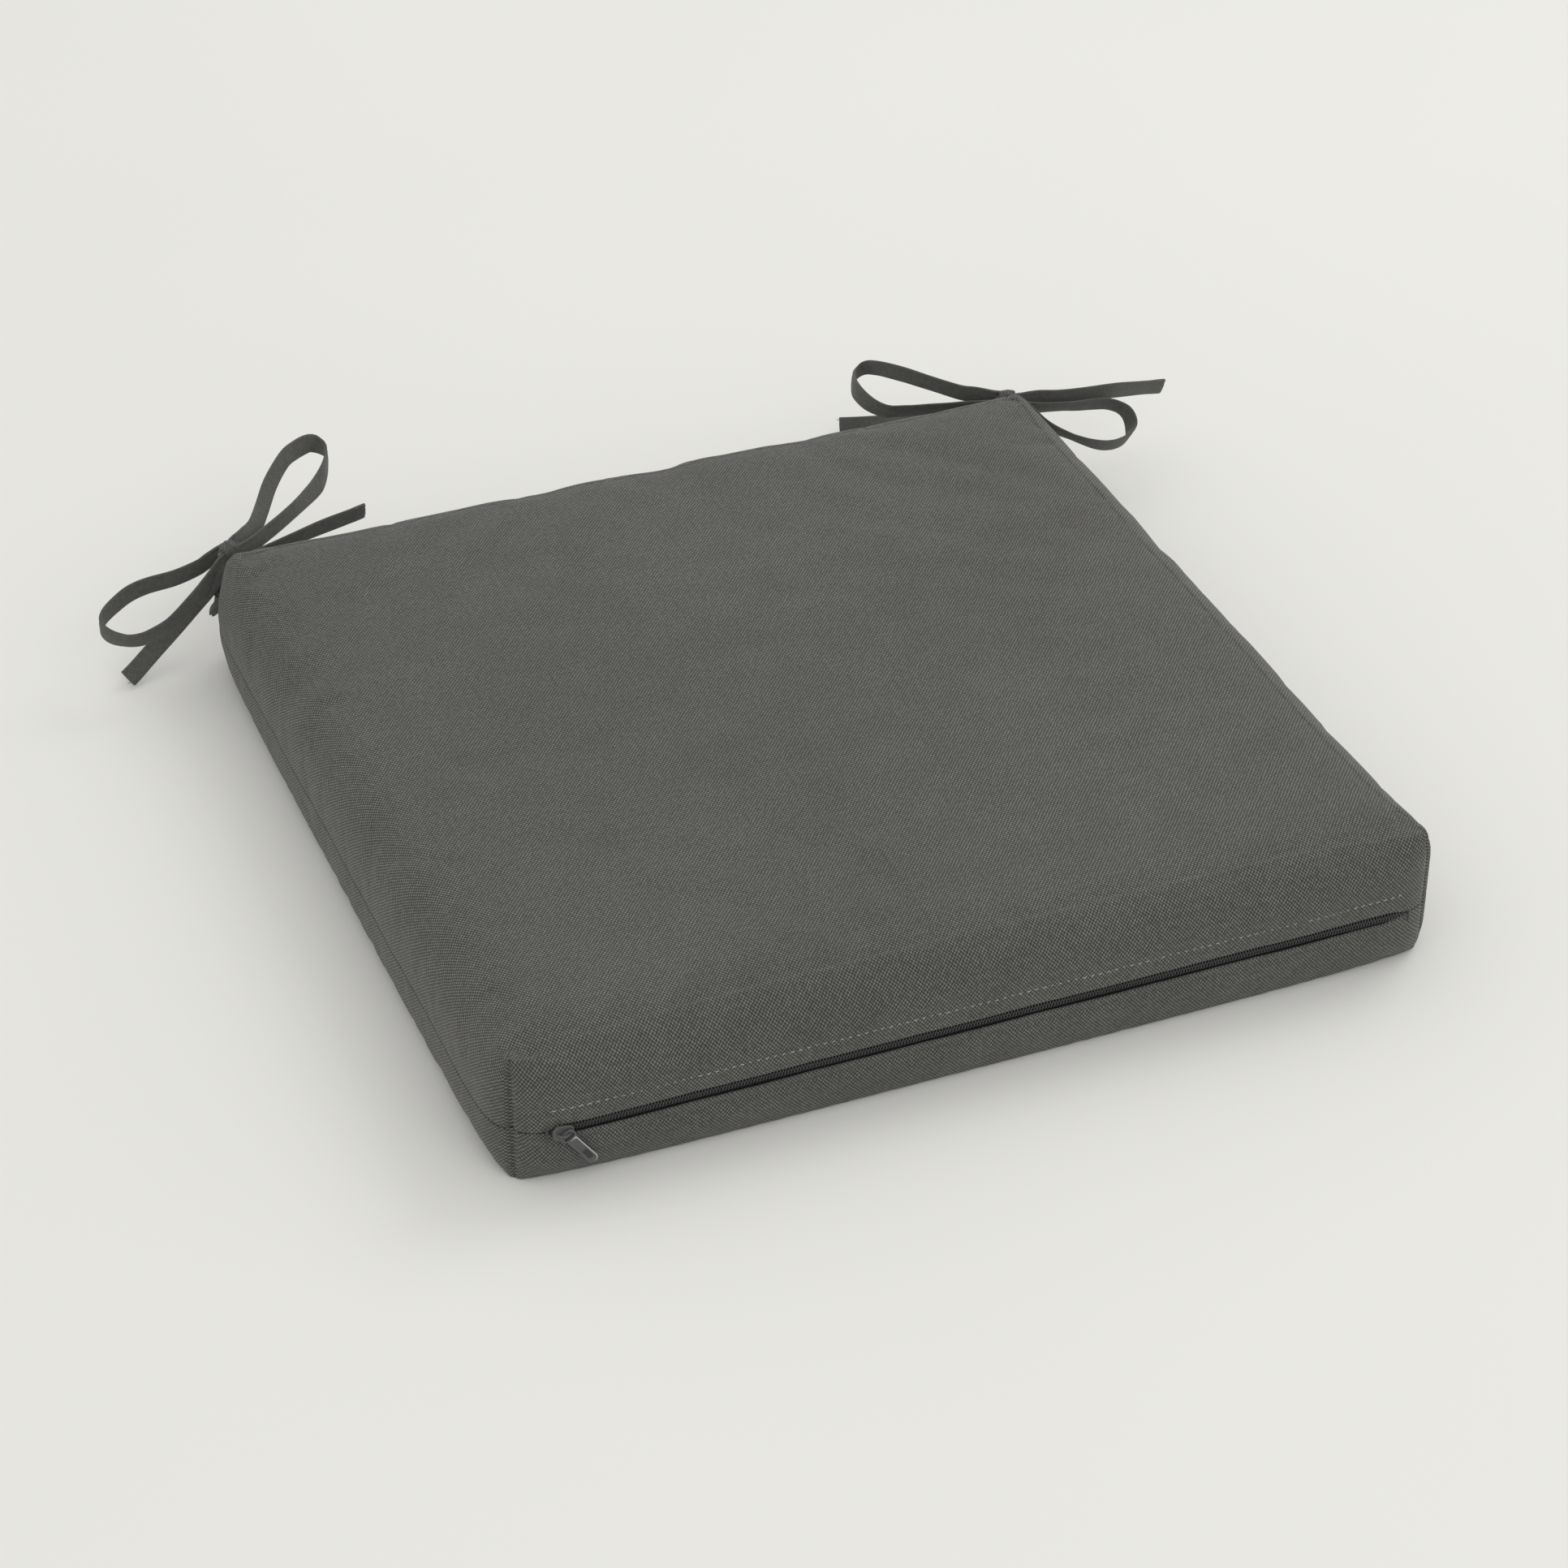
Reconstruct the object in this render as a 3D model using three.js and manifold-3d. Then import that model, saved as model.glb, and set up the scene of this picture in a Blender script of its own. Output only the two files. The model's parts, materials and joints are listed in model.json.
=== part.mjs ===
// A square tie-on chair seat pad: foam in a fibre wrap, inside a woven cover with darted corners.
// The cover's two panels meet in a seam at mid-height, and a coil zipper closes the front side.
// A pair of cloth ties, tied in a bow, hangs at each back corner.
// Millimetres. +X runs along the zipped front side, +Y points to the ties, +Z is up.
// The origin is the centre of the underside.
import * as THREE from "three";
import { LoftGeometry } from "three/addons/geometries/LoftGeometry.js";
import { RoundedBoxGeometry } from "three/addons/geometries/RoundedBoxGeometry.js";
import { mergeVertices } from "three/addons/utils/BufferGeometryUtils.js";
import Module from "manifold-3d";

const wasm = await Module();
wasm.setup();

// ---- Driving dimensions ----
const PAD_SIDE = 457; // between two corners
const PAD_HEIGHT = 66.5; // of the top edge over the underside
const CROWN = 2; // extra height in the middle of the top
const SIDE_BULGE = 8.5; // how far the seam swells past the corners
const SEAM_HEIGHT = 29;
const SHOULDER_INSET = 20; // how far the side draws in from the seam up to the top edge
const HEEL_INSET = 6; // and from the seam down to the underside
const SIDE_POWER = 2.2; // superellipse power of the side's section
const SEAM_CORNER = 22; // corner radius in plan at the seam
const EDGE_CORNER = 8; // and at the top edge and the underside

const CLOTH = 0.8; // cover thickness
const SEAM_ALLOWANCE = 8; // cloth turned in behind the seam
const SEAM_GAP = 0.3; // between the two panels
const LAYER_GAP = 0.3; // between touching layers
const WRAP_THICKNESS = 5; // fibre wrap over and under the foam
const WRAP_DRAWN_IN = 2; // from the pad's side to the wrap's, along each edge
const WRAP_SIDE_THICKNESS = 7.2; // fibre wrap round the foam's sides
const WRAP_INSET = 12; // how far the wrap's edges are rounded in
const FOAM_INSET = 8; // and the foam's
const WRAP_CORNER = 12;
const FOAM_CORNER = 9;
const ALLOWANCE_ROOM = 2; // free height each side of the seam for the turned cloth

const ZIP_END = 15.5; // seam sewn shut past each end of the opening
const ZIP_OPENING = 5; // height of the opening, over the coil
const TAPE_TAIL = 5; // tape past each end of the opening
const TAPE_WIDTH = 13;
const TAPE_THICKNESS = 0.6;
const TAPE_SPLIT = 2.8; // free height between the two tapes
const COIL_WIDTH = 5.6; // over both rows
const COIL_THICKNESS = 1.8;
const COIL_MEET = 0.3; // between the two rows
const COIL_TAIL = 1; // coil past the end of the opening
const ZIP_GAP = 0.4; // between cloth, coil, tape and slider

const SLIDER_LENGTH = 10;
const SLIDER_NOSE = 8.4;
const SLIDER_TAIL = 6.4;
const SLIDER_PLATE = 1.1;
const SLIDER_END_GAP = 1; // from the slider's nose to the end of the opening
const WEDGE_LENGTH = 2.6; // the post between the plates, at the nose
const WEDGE_WIDTH = 2;
const BRIDGE_RADIUS = 2.7; // the arch that holds the pull
const BRIDGE_WIRE = 0.5; // radius of its bar

const PULL_LENGTH = 23.5; // past its hinge line
const PULL_WIDTH = 5.6;
const PULL_THICKNESS = 1.2;
const PULL_BAR = 1; // the crossbar under the arch
const PULL_EYE_WIDTH = 5.6;
const PULL_EYE_LENGTH = 4;
const PULL_EYE_RIM = 0.8;
const PULL_HEIGHT = 0.9; // hinge line over the slider's front plate
const PULL_SHIFT = 0.585; // of the pull along its hinge line, which centres its eye on the arch
const PULL_DROOP = 55; // degrees below the zipper line

const THREAD_RADIUS = 0.4;
const STITCH_ABOVE = 11.5; // topstitch lines, from the seam
const STITCH_BELOW = 7;
const STITCH_END = 1; // from each end of the topstitch to the end of the opening
const TACK_WIDTH = 1.4;
const TACK_HEIGHT = 7;

const STRAP_RADIUS = 2.5; // a round tube with the section of the folded strap
const STRAP_SIDES = 8;
const STRAP_STEP = 12; // along a strap
const KNOT_SIZE = new THREE.Vector3(15, 12, 14);
const KNOT_ROUND = 3;
const KNOT_GAP = 0.3;

// Routes of the straps, chosen by hand, from the pad's corner in plan and from the underside.
// Each starts and ends inside its knot.
const LEFT_KNOT = [9, 15, 55.4];
const LEFT_ROUTES = {
  stem: [[-3.6, 3.6, 29], [-2.5, 9, 31], [3, 13.5, 36], [6, 15, 43], [7, 17, 50]],
  loop_upper: [
    [11, 17.5, 58], [18.8, 23, 57.5], [26.7, 32, 55.5], [36.3, 50, 55.3], [47, 68, 58.5],
    [59.4, 84, 61.8], [67.6, 92, 61.5], [76.5, 97, 61.2], [81.4, 97, 59.3], [84.3, 92, 58.2],
    [83.3, 86, 55.4], [79.1, 76, 53.9], [72.1, 66, 52.4], [60.9, 54, 52.8], [48.7, 42, 53.6],
    [36, 30, 54.5], [22.3, 18, 55.5], [11, 12.5, 56],
  ],
  tail_left: [
    [7, 13, 55], [3.2, 10, 50], [-4.9, 8, 41.4], [-18.6, 6, 29.8], [-36.4, 1, 16.8],
    [-49.5, -4, 8.3], [-55.7, -7, 5.4],
  ],
  loop_left: [
    [7, 18.5, 54], [0, 20, 48.5], [-6, 19.5, 45], [-19.6, 17, 43.1], [-35.5, 14, 44.1],
    [-45.9, 10, 44.3], [-55.1, 4, 43], [-62.4, -3, 41.8], [-64.9, -9, 40.5], [-62.7, -14, 38.7],
    [-57, -17, 37], [-51.3, -17, 35.6], [-45.5, -15, 34.7], [-34.1, -9, 34.6], [-21.7, -2, 39.1],
    [-8.9, 7, 44.1], [0, 12.5, 49.7], [7, 14, 55],
  ],
  tail_right: [
    [11, 16, 51], [21.1, 19, 49.5], [36.4, 25, 48.5], [51.9, 31, 47.5], [67.9, 38, 46.4],
    [81.7, 43, 45.9], [90.1, 46, 45.7],
  ],
};
const RIGHT_KNOT = [-1.5, 15, 50.7];
const RIGHT_ROUTES = {
  stem: [[3.4, 3.4, 29], [8, 8, 30], [6, 14, 35], [0, 17, 41], [-3, 17, 49]],
  loop_left: [
    [-3, 17, 52], [-10.6, 19, 53], [-18.2, 22, 54.2], [-24.8, 27.5, 53.8], [-37, 42, 54.5],
    [-46.8, 57, 54.4], [-55.2, 72, 52.1], [-60.3, 79, 49.3], [-66, 78, 47.1], [-70.8, 70, 47.6],
    [-74.1, 58, 48.3], [-72.1, 46, 46.7], [-65.2, 38, 44.6], [-55.6, 33, 45.4], [-43, 28, 46.5],
    [-29, 22, 47.5], [-13.5, 15.5, 48.8], [-3, 13, 50.5],
  ],
  tail_right: [
    [0, 17, 50], [8, 17, 48.2], [17.6, 15.5, 47.5], [31.7, 13, 46], [59.5, 14, 43.5],
    [79.9, 18, 38.5], [99.2, 23, 33.5],
  ],
  loop_right: [
    [0, 13.5, 48.5], [7.8, 10, 44.8], [17.9, 7, 43], [35.1, 6, 40.9], [48.7, 6, 39.9],
    [58.1, 5, 38.4], [64.2, 0, 35.7], [64.5, -6, 31.8], [59.4, -12, 29.8], [52.1, -16, 29.9],
    [43.3, -18, 31.6], [34.2, -17, 34.9], [25.2, -12, 38.5], [15.9, -6, 42.6], [10, 1, 46.5],
    [5, 8, 50.5], [0, 12.5, 53],
  ],
  tail_left: [
    [-3, 17, 49], [-12, 21, 44.5], [-23.6, 28, 38.8], [-32.9, 40, 32], [-40.7, 56, 23.7],
    [-47.1, 72, 14.9], [-55.5, 84, 9.1], [-68.1, 94, 5.5],
  ],
};

// ---- Derived places ----
const CORNER = PAD_SIDE / 2;
const SEAM_HALF = CORNER + SIDE_BULGE;
const WRAP_SIDE = PAD_SIDE - 2 * WRAP_DRAWN_IN;
const FOAM_SIDE = WRAP_SIDE - 2 * (LAYER_GAP + WRAP_SIDE_THICKNESS);
const ZIP_LENGTH = PAD_SIDE - 2 * ZIP_END;
const STITCH_LENGTH = ZIP_LENGTH - 2 * STITCH_END;
const FRONT = -SEAM_HALF; // the cover's front at the seam
const COIL_FRONT = FRONT + CLOTH + ZIP_GAP;
const TAPE_FRONT = COIL_FRONT + COIL_THICKNESS + ZIP_GAP;
const PLATE_BACK = TAPE_FRONT + TAPE_THICKNESS + ZIP_GAP; // front face of the slider's back plate
const PLATE_FRONT = FRONT - ZIP_GAP - SLIDER_PLATE; // front face of its front plate
const SLIDER_X = -ZIP_LENGTH / 2 + SLIDER_END_GAP + SLIDER_LENGTH / 2;
const WEDGE_X = SLIDER_X - SLIDER_LENGTH / 2 + WEDGE_LENGTH / 2;
const COIL_START = WEDGE_X + WEDGE_LENGTH / 2 + ZIP_GAP;
const BIG = 2 * PAD_SIDE; // larger than the pad, for cutting blocks
const CORNER_STEPS = 6;
const SIDE_STEPS = 6;
const CROWN_STEPS = 4;

// ---- Solids ----

// A three.js geometry as a solid that can be joined and cut.
function solid(geometry) {
  const bare = geometry.index ? geometry.toNonIndexed() : geometry.clone();
  bare.deleteAttribute("normal");
  bare.deleteAttribute("uv");
  const merged = mergeVertices(bare, 1e-4);
  const mesh = new wasm.Mesh({
    numProp: 3,
    vertProperties: merged.attributes.position.array,
    triVerts: new Uint32Array(merged.index.array),
  });
  return new wasm.Manifold(mesh);
}

// A solid as a flat-shaded named mesh.
function part(name, shape, material) {
  const { numProp, vertProperties, triVerts } = shape.getMesh();
  const points = Float32Array.from(
    { length: (vertProperties.length / numProp) * 3 },
    (_, i) => vertProperties[Math.floor(i / 3) * numProp + (i % 3)],
  );
  const geometry = new THREE.BufferGeometry();
  geometry.setAttribute("position", new THREE.BufferAttribute(points, 3));
  geometry.setIndex(new THREE.BufferAttribute(triVerts, 1));
  const mesh = new THREE.Mesh(geometry.toNonIndexed(), material);
  mesh.geometry.computeVertexNormals();
  mesh.name = name;
  return mesh;
}

// A box between two corners.
function block(low, high) {
  const size = high.map((value, i) => value - low[i]);
  const box = new THREE.BoxGeometry(...size);
  return solid(box.translate(...low.map((value, i) => value + size[i] / 2)));
}

// A rounded square at one height, anticlockwise seen from above.
function ring(half, corner, z) {
  const points = [];
  for (let quarter = 0; quarter < 4; quarter++) {
    const middle = (quarter + 0.5) * (Math.PI / 2);
    const centreX = (half - corner) * Math.sign(Math.cos(middle));
    const centreY = (half - corner) * Math.sign(Math.sin(middle));
    for (let step = 0; step <= CORNER_STEPS; step++) {
      const angle = (quarter + step / CORNER_STEPS) * (Math.PI / 2);
      const x = centreX + corner * Math.cos(angle);
      points.push(new THREE.Vector3(x, centreY + corner * Math.sin(angle), z));
    }
  }
  return points;
}

// A cushion form: widest at the seam, its sides drawn in above and below it along a superellipse,
// with a crowned top and a flat underside.
function cushion({ half, base, top, shoulder, heel, seamCorner, edgeCorner }) {
  const rings = [];
  const sideRing = (reach, inset, share) => {
    const cornerRadius = seamCorner + (edgeCorner - seamCorner) * Math.abs(share);
    rings.push(ring(half - inset, cornerRadius, SEAM_HEIGHT + reach * share));
  };
  for (let step = -SIDE_STEPS; step <= SIDE_STEPS; step++) {
    const angle = (Math.abs(step) / SIDE_STEPS) * (Math.PI / 2);
    const share = Math.sign(step) * Math.sin(angle) ** (2 / SIDE_POWER);
    const drawn = 1 - Math.cos(angle) ** (2 / SIDE_POWER);
    if (step < 0) sideRing(SEAM_HEIGHT - base, heel * drawn, share);
    else sideRing(top - SEAM_HEIGHT, shoulder * drawn, share);
  }
  for (let step = 1; step < CROWN_STEPS; step++) {
    const share = step / CROWN_STEPS;
    const rise = CROWN * (1 - (1 - share) ** 2);
    rings.push(ring((half - shoulder) * (1 - share), edgeCorner * (1 - share), top + rise));
  }
  return solid(new LoftGeometry(rings, { capStart: true, capEnd: true }));
}

// How far the cover's side is drawn in at a height over or under the seam.
function sideInset(rise) {
  const reach = rise > 0 ? PAD_HEIGHT - SEAM_HEIGHT : SEAM_HEIGHT;
  const inset = rise > 0 ? SHOULDER_INSET : HEEL_INSET;
  const share = Math.abs(rise) / reach;
  return inset * (1 - (1 - share ** SIDE_POWER) ** (1 / SIDE_POWER));
}

// The part of a solid between two heights.
function between(shape, low, high) {
  return shape.intersect(block([-BIG, -BIG, low], [BIG, BIG, high]));
}

// ---- Materials ----
function cloth(color) {
  return new THREE.MeshStandardMaterial({ color, roughness: 0.9, metalness: 0 });
}
function nylon(color) {
  return new THREE.MeshStandardMaterial({ color, roughness: 0.55, metalness: 0 });
}
function foam(color) {
  return new THREE.MeshStandardMaterial({ color, roughness: 1, metalness: 0 });
}
function metal(color) {
  return new THREE.MeshStandardMaterial({ color, roughness: 0.45, metalness: 0.8 });
}

// ---- Cover, wrap and foam ----

// The cover's cloth: one thin wall between two cushion forms.
function coverWall() {
  const outside = {
    half: SEAM_HALF,
    base: 0,
    top: PAD_HEIGHT,
    shoulder: SHOULDER_INSET,
    heel: HEEL_INSET,
    seamCorner: SEAM_CORNER,
    edgeCorner: EDGE_CORNER,
  };
  const inside = {
    ...outside,
    half: SEAM_HALF - CLOTH,
    base: CLOTH,
    top: PAD_HEIGHT - CLOTH,
    seamCorner: SEAM_CORNER - CLOTH,
    edgeCorner: EDGE_CORNER - CLOTH,
  };
  return { outside: cushion(outside), inside: cushion(inside) };
}

// The zipper's opening, and the room behind it where no seam allowance is turned in.
function zipperRoom() {
  const opening = block(
    [-ZIP_LENGTH / 2, FRONT - SIDE_BULGE, SEAM_HEIGHT - ZIP_OPENING / 2],
    [ZIP_LENGTH / 2, FRONT + 2 * CLOTH, SEAM_HEIGHT + ZIP_OPENING / 2],
  );
  const tapeEnd = ZIP_LENGTH / 2 + TAPE_TAIL + ZIP_GAP;
  const behind = block(
    [-tapeEnd, FRONT + CLOTH, SEAM_HEIGHT - ALLOWANCE_ROOM],
    [tapeEnd, FRONT + SIDE_BULGE + SEAM_ALLOWANCE, SEAM_HEIGHT + ALLOWANCE_ROOM],
  );
  return opening.add(behind);
}

// The cloth turned in behind the seam: a flat frame round the pad.
function seamAllowance(outside) {
  const half = SEAM_HALF - CLOTH - SEAM_ALLOWANCE;
  const corner = SEAM_CORNER - CLOTH - SEAM_ALLOWANCE;
  const hole = [ring(half, corner, 0), ring(half, corner, PAD_HEIGHT)];
  const depth = CLOTH + SEAM_GAP / 2;
  const frame = between(outside, SEAM_HEIGHT - depth, SEAM_HEIGHT + depth);
  return frame.subtract(solid(new LoftGeometry(hole, { capStart: true, capEnd: true })));
}

function coverPanels() {
  const { outside, inside } = coverWall();
  const sewn = outside.subtract(inside).add(seamAllowance(outside)).subtract(zipperRoom());
  return [
    part("cover_top_panel", between(sewn, SEAM_HEIGHT + SEAM_GAP / 2, BIG), cloth(0x4c4c48)),
    part("cover_bottom_panel", between(sewn, -BIG, SEAM_HEIGHT - SEAM_GAP / 2), cloth(0x484845)),
  ];
}

function filling() {
  const wrapDepth = CLOTH + LAYER_GAP;
  const wrapped = cushion({
    half: WRAP_SIDE / 2,
    base: wrapDepth,
    top: PAD_HEIGHT - wrapDepth,
    shoulder: WRAP_INSET,
    heel: WRAP_INSET,
    seamCorner: WRAP_CORNER,
    edgeCorner: WRAP_CORNER,
  });
  const foamForm = (clearance) =>
    cushion({
      half: FOAM_SIDE / 2 + clearance,
      base: wrapDepth + WRAP_THICKNESS - clearance,
      top: PAD_HEIGHT - wrapDepth - WRAP_THICKNESS + clearance,
      shoulder: FOAM_INSET,
      heel: FOAM_INSET,
      seamCorner: FOAM_CORNER + clearance,
      edgeCorner: FOAM_CORNER + clearance,
    });
  const wrap = wrapped.subtract(foamForm(LAYER_GAP));
  const upper = between(wrap, SEAM_HEIGHT + ALLOWANCE_ROOM, BIG);
  const lower = between(wrap, -BIG, SEAM_HEIGHT - ALLOWANCE_ROOM);
  return [
    part("foam_core", foamForm(0), foam(0xd9cfae)),
    part("fibre_wrap_top", upper, foam(0xe8e8e6)),
    part("fibre_wrap_bottom", lower, foam(0xe6e6e4)),
  ];
}

// ---- Zipper ----

function zipperTape(name, side) {
  const half = ZIP_LENGTH / 2 + TAPE_TAIL;
  const edges = [TAPE_SPLIT / 2, TAPE_SPLIT / 2 + TAPE_WIDTH].map((z) => SEAM_HEIGHT + side * z);
  const low = [-half, TAPE_FRONT, Math.min(...edges)];
  const high = [half, TAPE_FRONT + TAPE_THICKNESS, Math.max(...edges)];
  return part(name, block(low, high), cloth(0x2b2b2a));
}

// One row of the closed coil, from the slider's wedge to the far end of the opening.
function zipperCoil(name, side) {
  const edges = [COIL_MEET / 2, COIL_WIDTH / 2].map((z) => SEAM_HEIGHT + side * z);
  const low = [COIL_START, COIL_FRONT, Math.min(...edges)];
  const high = [ZIP_LENGTH / 2 + COIL_TAIL, COIL_FRONT + COIL_THICKNESS, Math.max(...edges)];
  return part(name, block(low, high), nylon(0x242424));
}

// A flat outline in the zipper's plane, given depth from a front face backwards.
function plate(outline, frontY, depth) {
  const extruded = new THREE.ExtrudeGeometry(outline, { depth, bevelEnabled: false, curveSegments: 6 });
  return solid(extruded.rotateX(Math.PI / 2).translate(0, frontY + depth, 0));
}

// The slider's plates taper from the nose, at -X, to the tail.
function sliderOutline() {
  const half = SLIDER_LENGTH / 2;
  const shoulder = half - SLIDER_NOSE / 4;
  return new THREE.Shape([
    new THREE.Vector2(-half, -SLIDER_NOSE / 4),
    new THREE.Vector2(-shoulder, -SLIDER_NOSE / 2),
    new THREE.Vector2(shoulder, -SLIDER_TAIL / 2),
    new THREE.Vector2(half, -SLIDER_TAIL / 4),
    new THREE.Vector2(half, SLIDER_TAIL / 4),
    new THREE.Vector2(shoulder, SLIDER_TAIL / 2),
    new THREE.Vector2(-shoulder, SLIDER_NOSE / 2),
    new THREE.Vector2(-half, SLIDER_NOSE / 4),
  ]);
}

function zipperSlider() {
  const front = plate(sliderOutline(), PLATE_FRONT, SLIDER_PLATE);
  const back = plate(sliderOutline(), PLATE_BACK, SLIDER_PLATE);
  const wedgeX = WEDGE_X - SLIDER_X;
  const wedge = block(
    [wedgeX - WEDGE_LENGTH / 2, PLATE_FRONT + SLIDER_PLATE / 2, -WEDGE_WIDTH / 2],
    [wedgeX + WEDGE_LENGTH / 2, PLATE_BACK + SLIDER_PLATE / 2, WEDGE_WIDTH / 2],
  );
  // The arch stands on the front plate in the plane of travel, its feet sunk in the plate.
  const ringGeometry = new THREE.TorusGeometry(BRIDGE_RADIUS, BRIDGE_WIRE, 8, 24);
  const wholeArch = solid(ringGeometry.translate(0, PLATE_FRONT, 0));
  const inFront = block([-BIG, -BIG, -BIG], [BIG, PLATE_FRONT + SLIDER_PLATE / 2, BIG]);
  const shape = front.add(back).add(wedge).add(wholeArch.intersect(inFront));
  return part("zipper_slider", shape.translate([SLIDER_X, 0, SEAM_HEIGHT]), metal(0x3a3a3c));
}

// The pull hangs from a crossbar under the arch. Its eye leaves room for the arch to pass.
function zipperPull() {
  const eyeEnd = PULL_BAR / 2 + PULL_EYE_LENGTH;
  const eyeHalf = PULL_EYE_WIDTH / 2;
  const eyeOutside = eyeHalf + PULL_EYE_RIM;
  const neck = eyeEnd + 2 * PULL_EYE_RIM;
  const half = PULL_WIDTH / 2;
  const outline = new THREE.Shape();
  outline.moveTo(-PULL_BAR / 2, -eyeOutside);
  outline.lineTo(eyeEnd, -eyeOutside);
  outline.lineTo(neck, -half);
  outline.lineTo(PULL_LENGTH - half, -half);
  outline.absarc(PULL_LENGTH - half, 0, half, -Math.PI / 2, Math.PI / 2, false);
  outline.lineTo(neck, half);
  outline.lineTo(eyeEnd, eyeOutside);
  outline.lineTo(-PULL_BAR / 2, eyeOutside);
  outline.closePath();
  const eye = new THREE.Path();
  eye.moveTo(PULL_BAR / 2, -eyeHalf);
  eye.lineTo(PULL_BAR / 2, eyeHalf);
  eye.lineTo(eyeEnd, eyeHalf);
  eye.lineTo(eyeEnd, -eyeHalf);
  eye.closePath();
  outline.holes.push(eye);
  const droop = THREE.MathUtils.degToRad(PULL_DROOP);
  const mesh = part("zipper_pull", plate(outline, -PULL_THICKNESS / 2, PULL_THICKNESS), metal(0x4a4a4c));
  mesh.rotation.y = droop;
  mesh.position.set(
    SLIDER_X + PULL_SHIFT * Math.sin(droop),
    PLATE_FRONT - PULL_HEIGHT,
    SEAM_HEIGHT + PULL_SHIFT * Math.cos(droop),
  );
  return mesh;
}

// A stitch that closes the seam at one end of the opening.
function zipperTack(name, side) {
  const x = side * (ZIP_LENGTH / 2 + TACK_WIDTH);
  const y = FRONT - LAYER_GAP - 2 * THREAD_RADIUS;
  const low = [x - TACK_WIDTH / 2, y, SEAM_HEIGHT - TACK_HEIGHT / 2];
  const high = [x + TACK_WIDTH / 2, FRONT - LAYER_GAP, SEAM_HEIGHT + TACK_HEIGHT / 2];
  return part(name, block(low, high), cloth(0x6f6f6a));
}

// A straight line of topstitch on the front, at a height over or under the seam.
function topstitch(name, rise) {
  const y = FRONT + sideInset(rise) - LAYER_GAP - THREAD_RADIUS;
  const bar = new THREE.CylinderGeometry(THREAD_RADIUS, THREAD_RADIUS, STITCH_LENGTH, 8);
  const shape = solid(bar.rotateZ(Math.PI / 2).translate(0, y, SEAM_HEIGHT + rise));
  return part(name, shape, cloth(0x74746f));
}

// ---- Ties ----

function knotForm(centre, clearance) {
  const size = KNOT_SIZE.clone().addScalar(2 * clearance);
  const box = new RoundedBoxGeometry(size.x, size.y, size.z, 2, KNOT_ROUND + clearance);
  return solid(box.translate(...centre));
}

// A round tube along a strap's route.
function strapTube(route, radius) {
  const path = new THREE.CatmullRomCurve3(route.map((point) => new THREE.Vector3(...point)));
  const section = new THREE.Shape();
  for (let side = 0; side < STRAP_SIDES; side++) {
    const angle = (side / STRAP_SIDES) * 2 * Math.PI;
    const go = side === 0 ? "moveTo" : "lineTo";
    section[go](radius * Math.cos(angle), radius * Math.sin(angle));
  }
  section.closePath();
  const steps = Math.ceil(path.getLength() / STRAP_STEP);
  return solid(new THREE.ExtrudeGeometry(section, { extrudePath: path, steps, bevelEnabled: false }));
}

// A knot and its straps, placed at a back corner. Each strap is cut back where it meets the knot and
// the straps before it.
function tie(name, cornerX, knot, routes) {
  const group = new THREE.Group();
  group.position.set(cornerX, CORNER, 0);
  group.add(part(`${name}_knot`, knotForm(knot, 0), cloth(0x424240)));
  let taken = knotForm(knot, KNOT_GAP);
  for (const [piece, route] of Object.entries(routes)) {
    const strap = strapTube(route, STRAP_RADIUS).subtract(taken);
    group.add(part(`${name}_${piece}`, strap, cloth(0x454542)));
    taken = taken.add(strapTube(route, STRAP_RADIUS + KNOT_GAP));
  }
  return group;
}

const pad = new THREE.Group();
pad.add(
  ...coverPanels(),
  ...filling(),
  zipperTape("zipper_tape_upper", 1),
  zipperTape("zipper_tape_lower", -1),
  zipperCoil("zipper_coil_upper", 1),
  zipperCoil("zipper_coil_lower", -1),
  zipperSlider(),
  zipperPull(),
  zipperTack("zipper_tack_left", -1),
  zipperTack("zipper_tack_right", 1),
  topstitch("topstitch_upper", STITCH_ABOVE),
  topstitch("topstitch_lower", -STITCH_BELOW),
  tie("tie_left", -CORNER, LEFT_KNOT, LEFT_ROUTES),
  tie("tie_right", CORNER, RIGHT_KNOT, RIGHT_ROUTES),
);

export default pad;
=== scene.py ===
"""A square tie-on chair seat pad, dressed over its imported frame.

The frame holds the real sizes and places. This file makes what the eye sees: the sewn cover with its
darted corners and zipper placket, the ties in their bows, the zipper and the filling. Each group of
pieces is one operator, and main() runs them in order. Metres throughout. +X runs along the zipped
front side, +Y points to the ties and +Z is up.
"""

import json
import math

import bpy
import numpy as np
from bpy.props import FloatProperty, FloatVectorProperty, PointerProperty
from bpy.types import Operator, Panel, PropertyGroup
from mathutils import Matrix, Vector


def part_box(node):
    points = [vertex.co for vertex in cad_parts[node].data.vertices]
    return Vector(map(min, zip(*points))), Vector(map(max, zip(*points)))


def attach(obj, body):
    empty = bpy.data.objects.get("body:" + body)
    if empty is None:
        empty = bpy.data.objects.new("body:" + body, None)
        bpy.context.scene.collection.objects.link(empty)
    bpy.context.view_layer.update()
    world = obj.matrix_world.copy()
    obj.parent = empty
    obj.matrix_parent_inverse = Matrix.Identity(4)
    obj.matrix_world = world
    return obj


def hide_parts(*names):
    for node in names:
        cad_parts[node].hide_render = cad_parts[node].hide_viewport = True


bl_info = {
    "name": "Chair Seat Pad",
    "version": (1, 0, 0),
    "blender": (4, 5, 0),
    "location": "View3D > Sidebar > Seat Pad",
    "description": "Sews a tie-on chair seat pad over its packed frame",
    "category": "Add Mesh",
}

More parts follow.
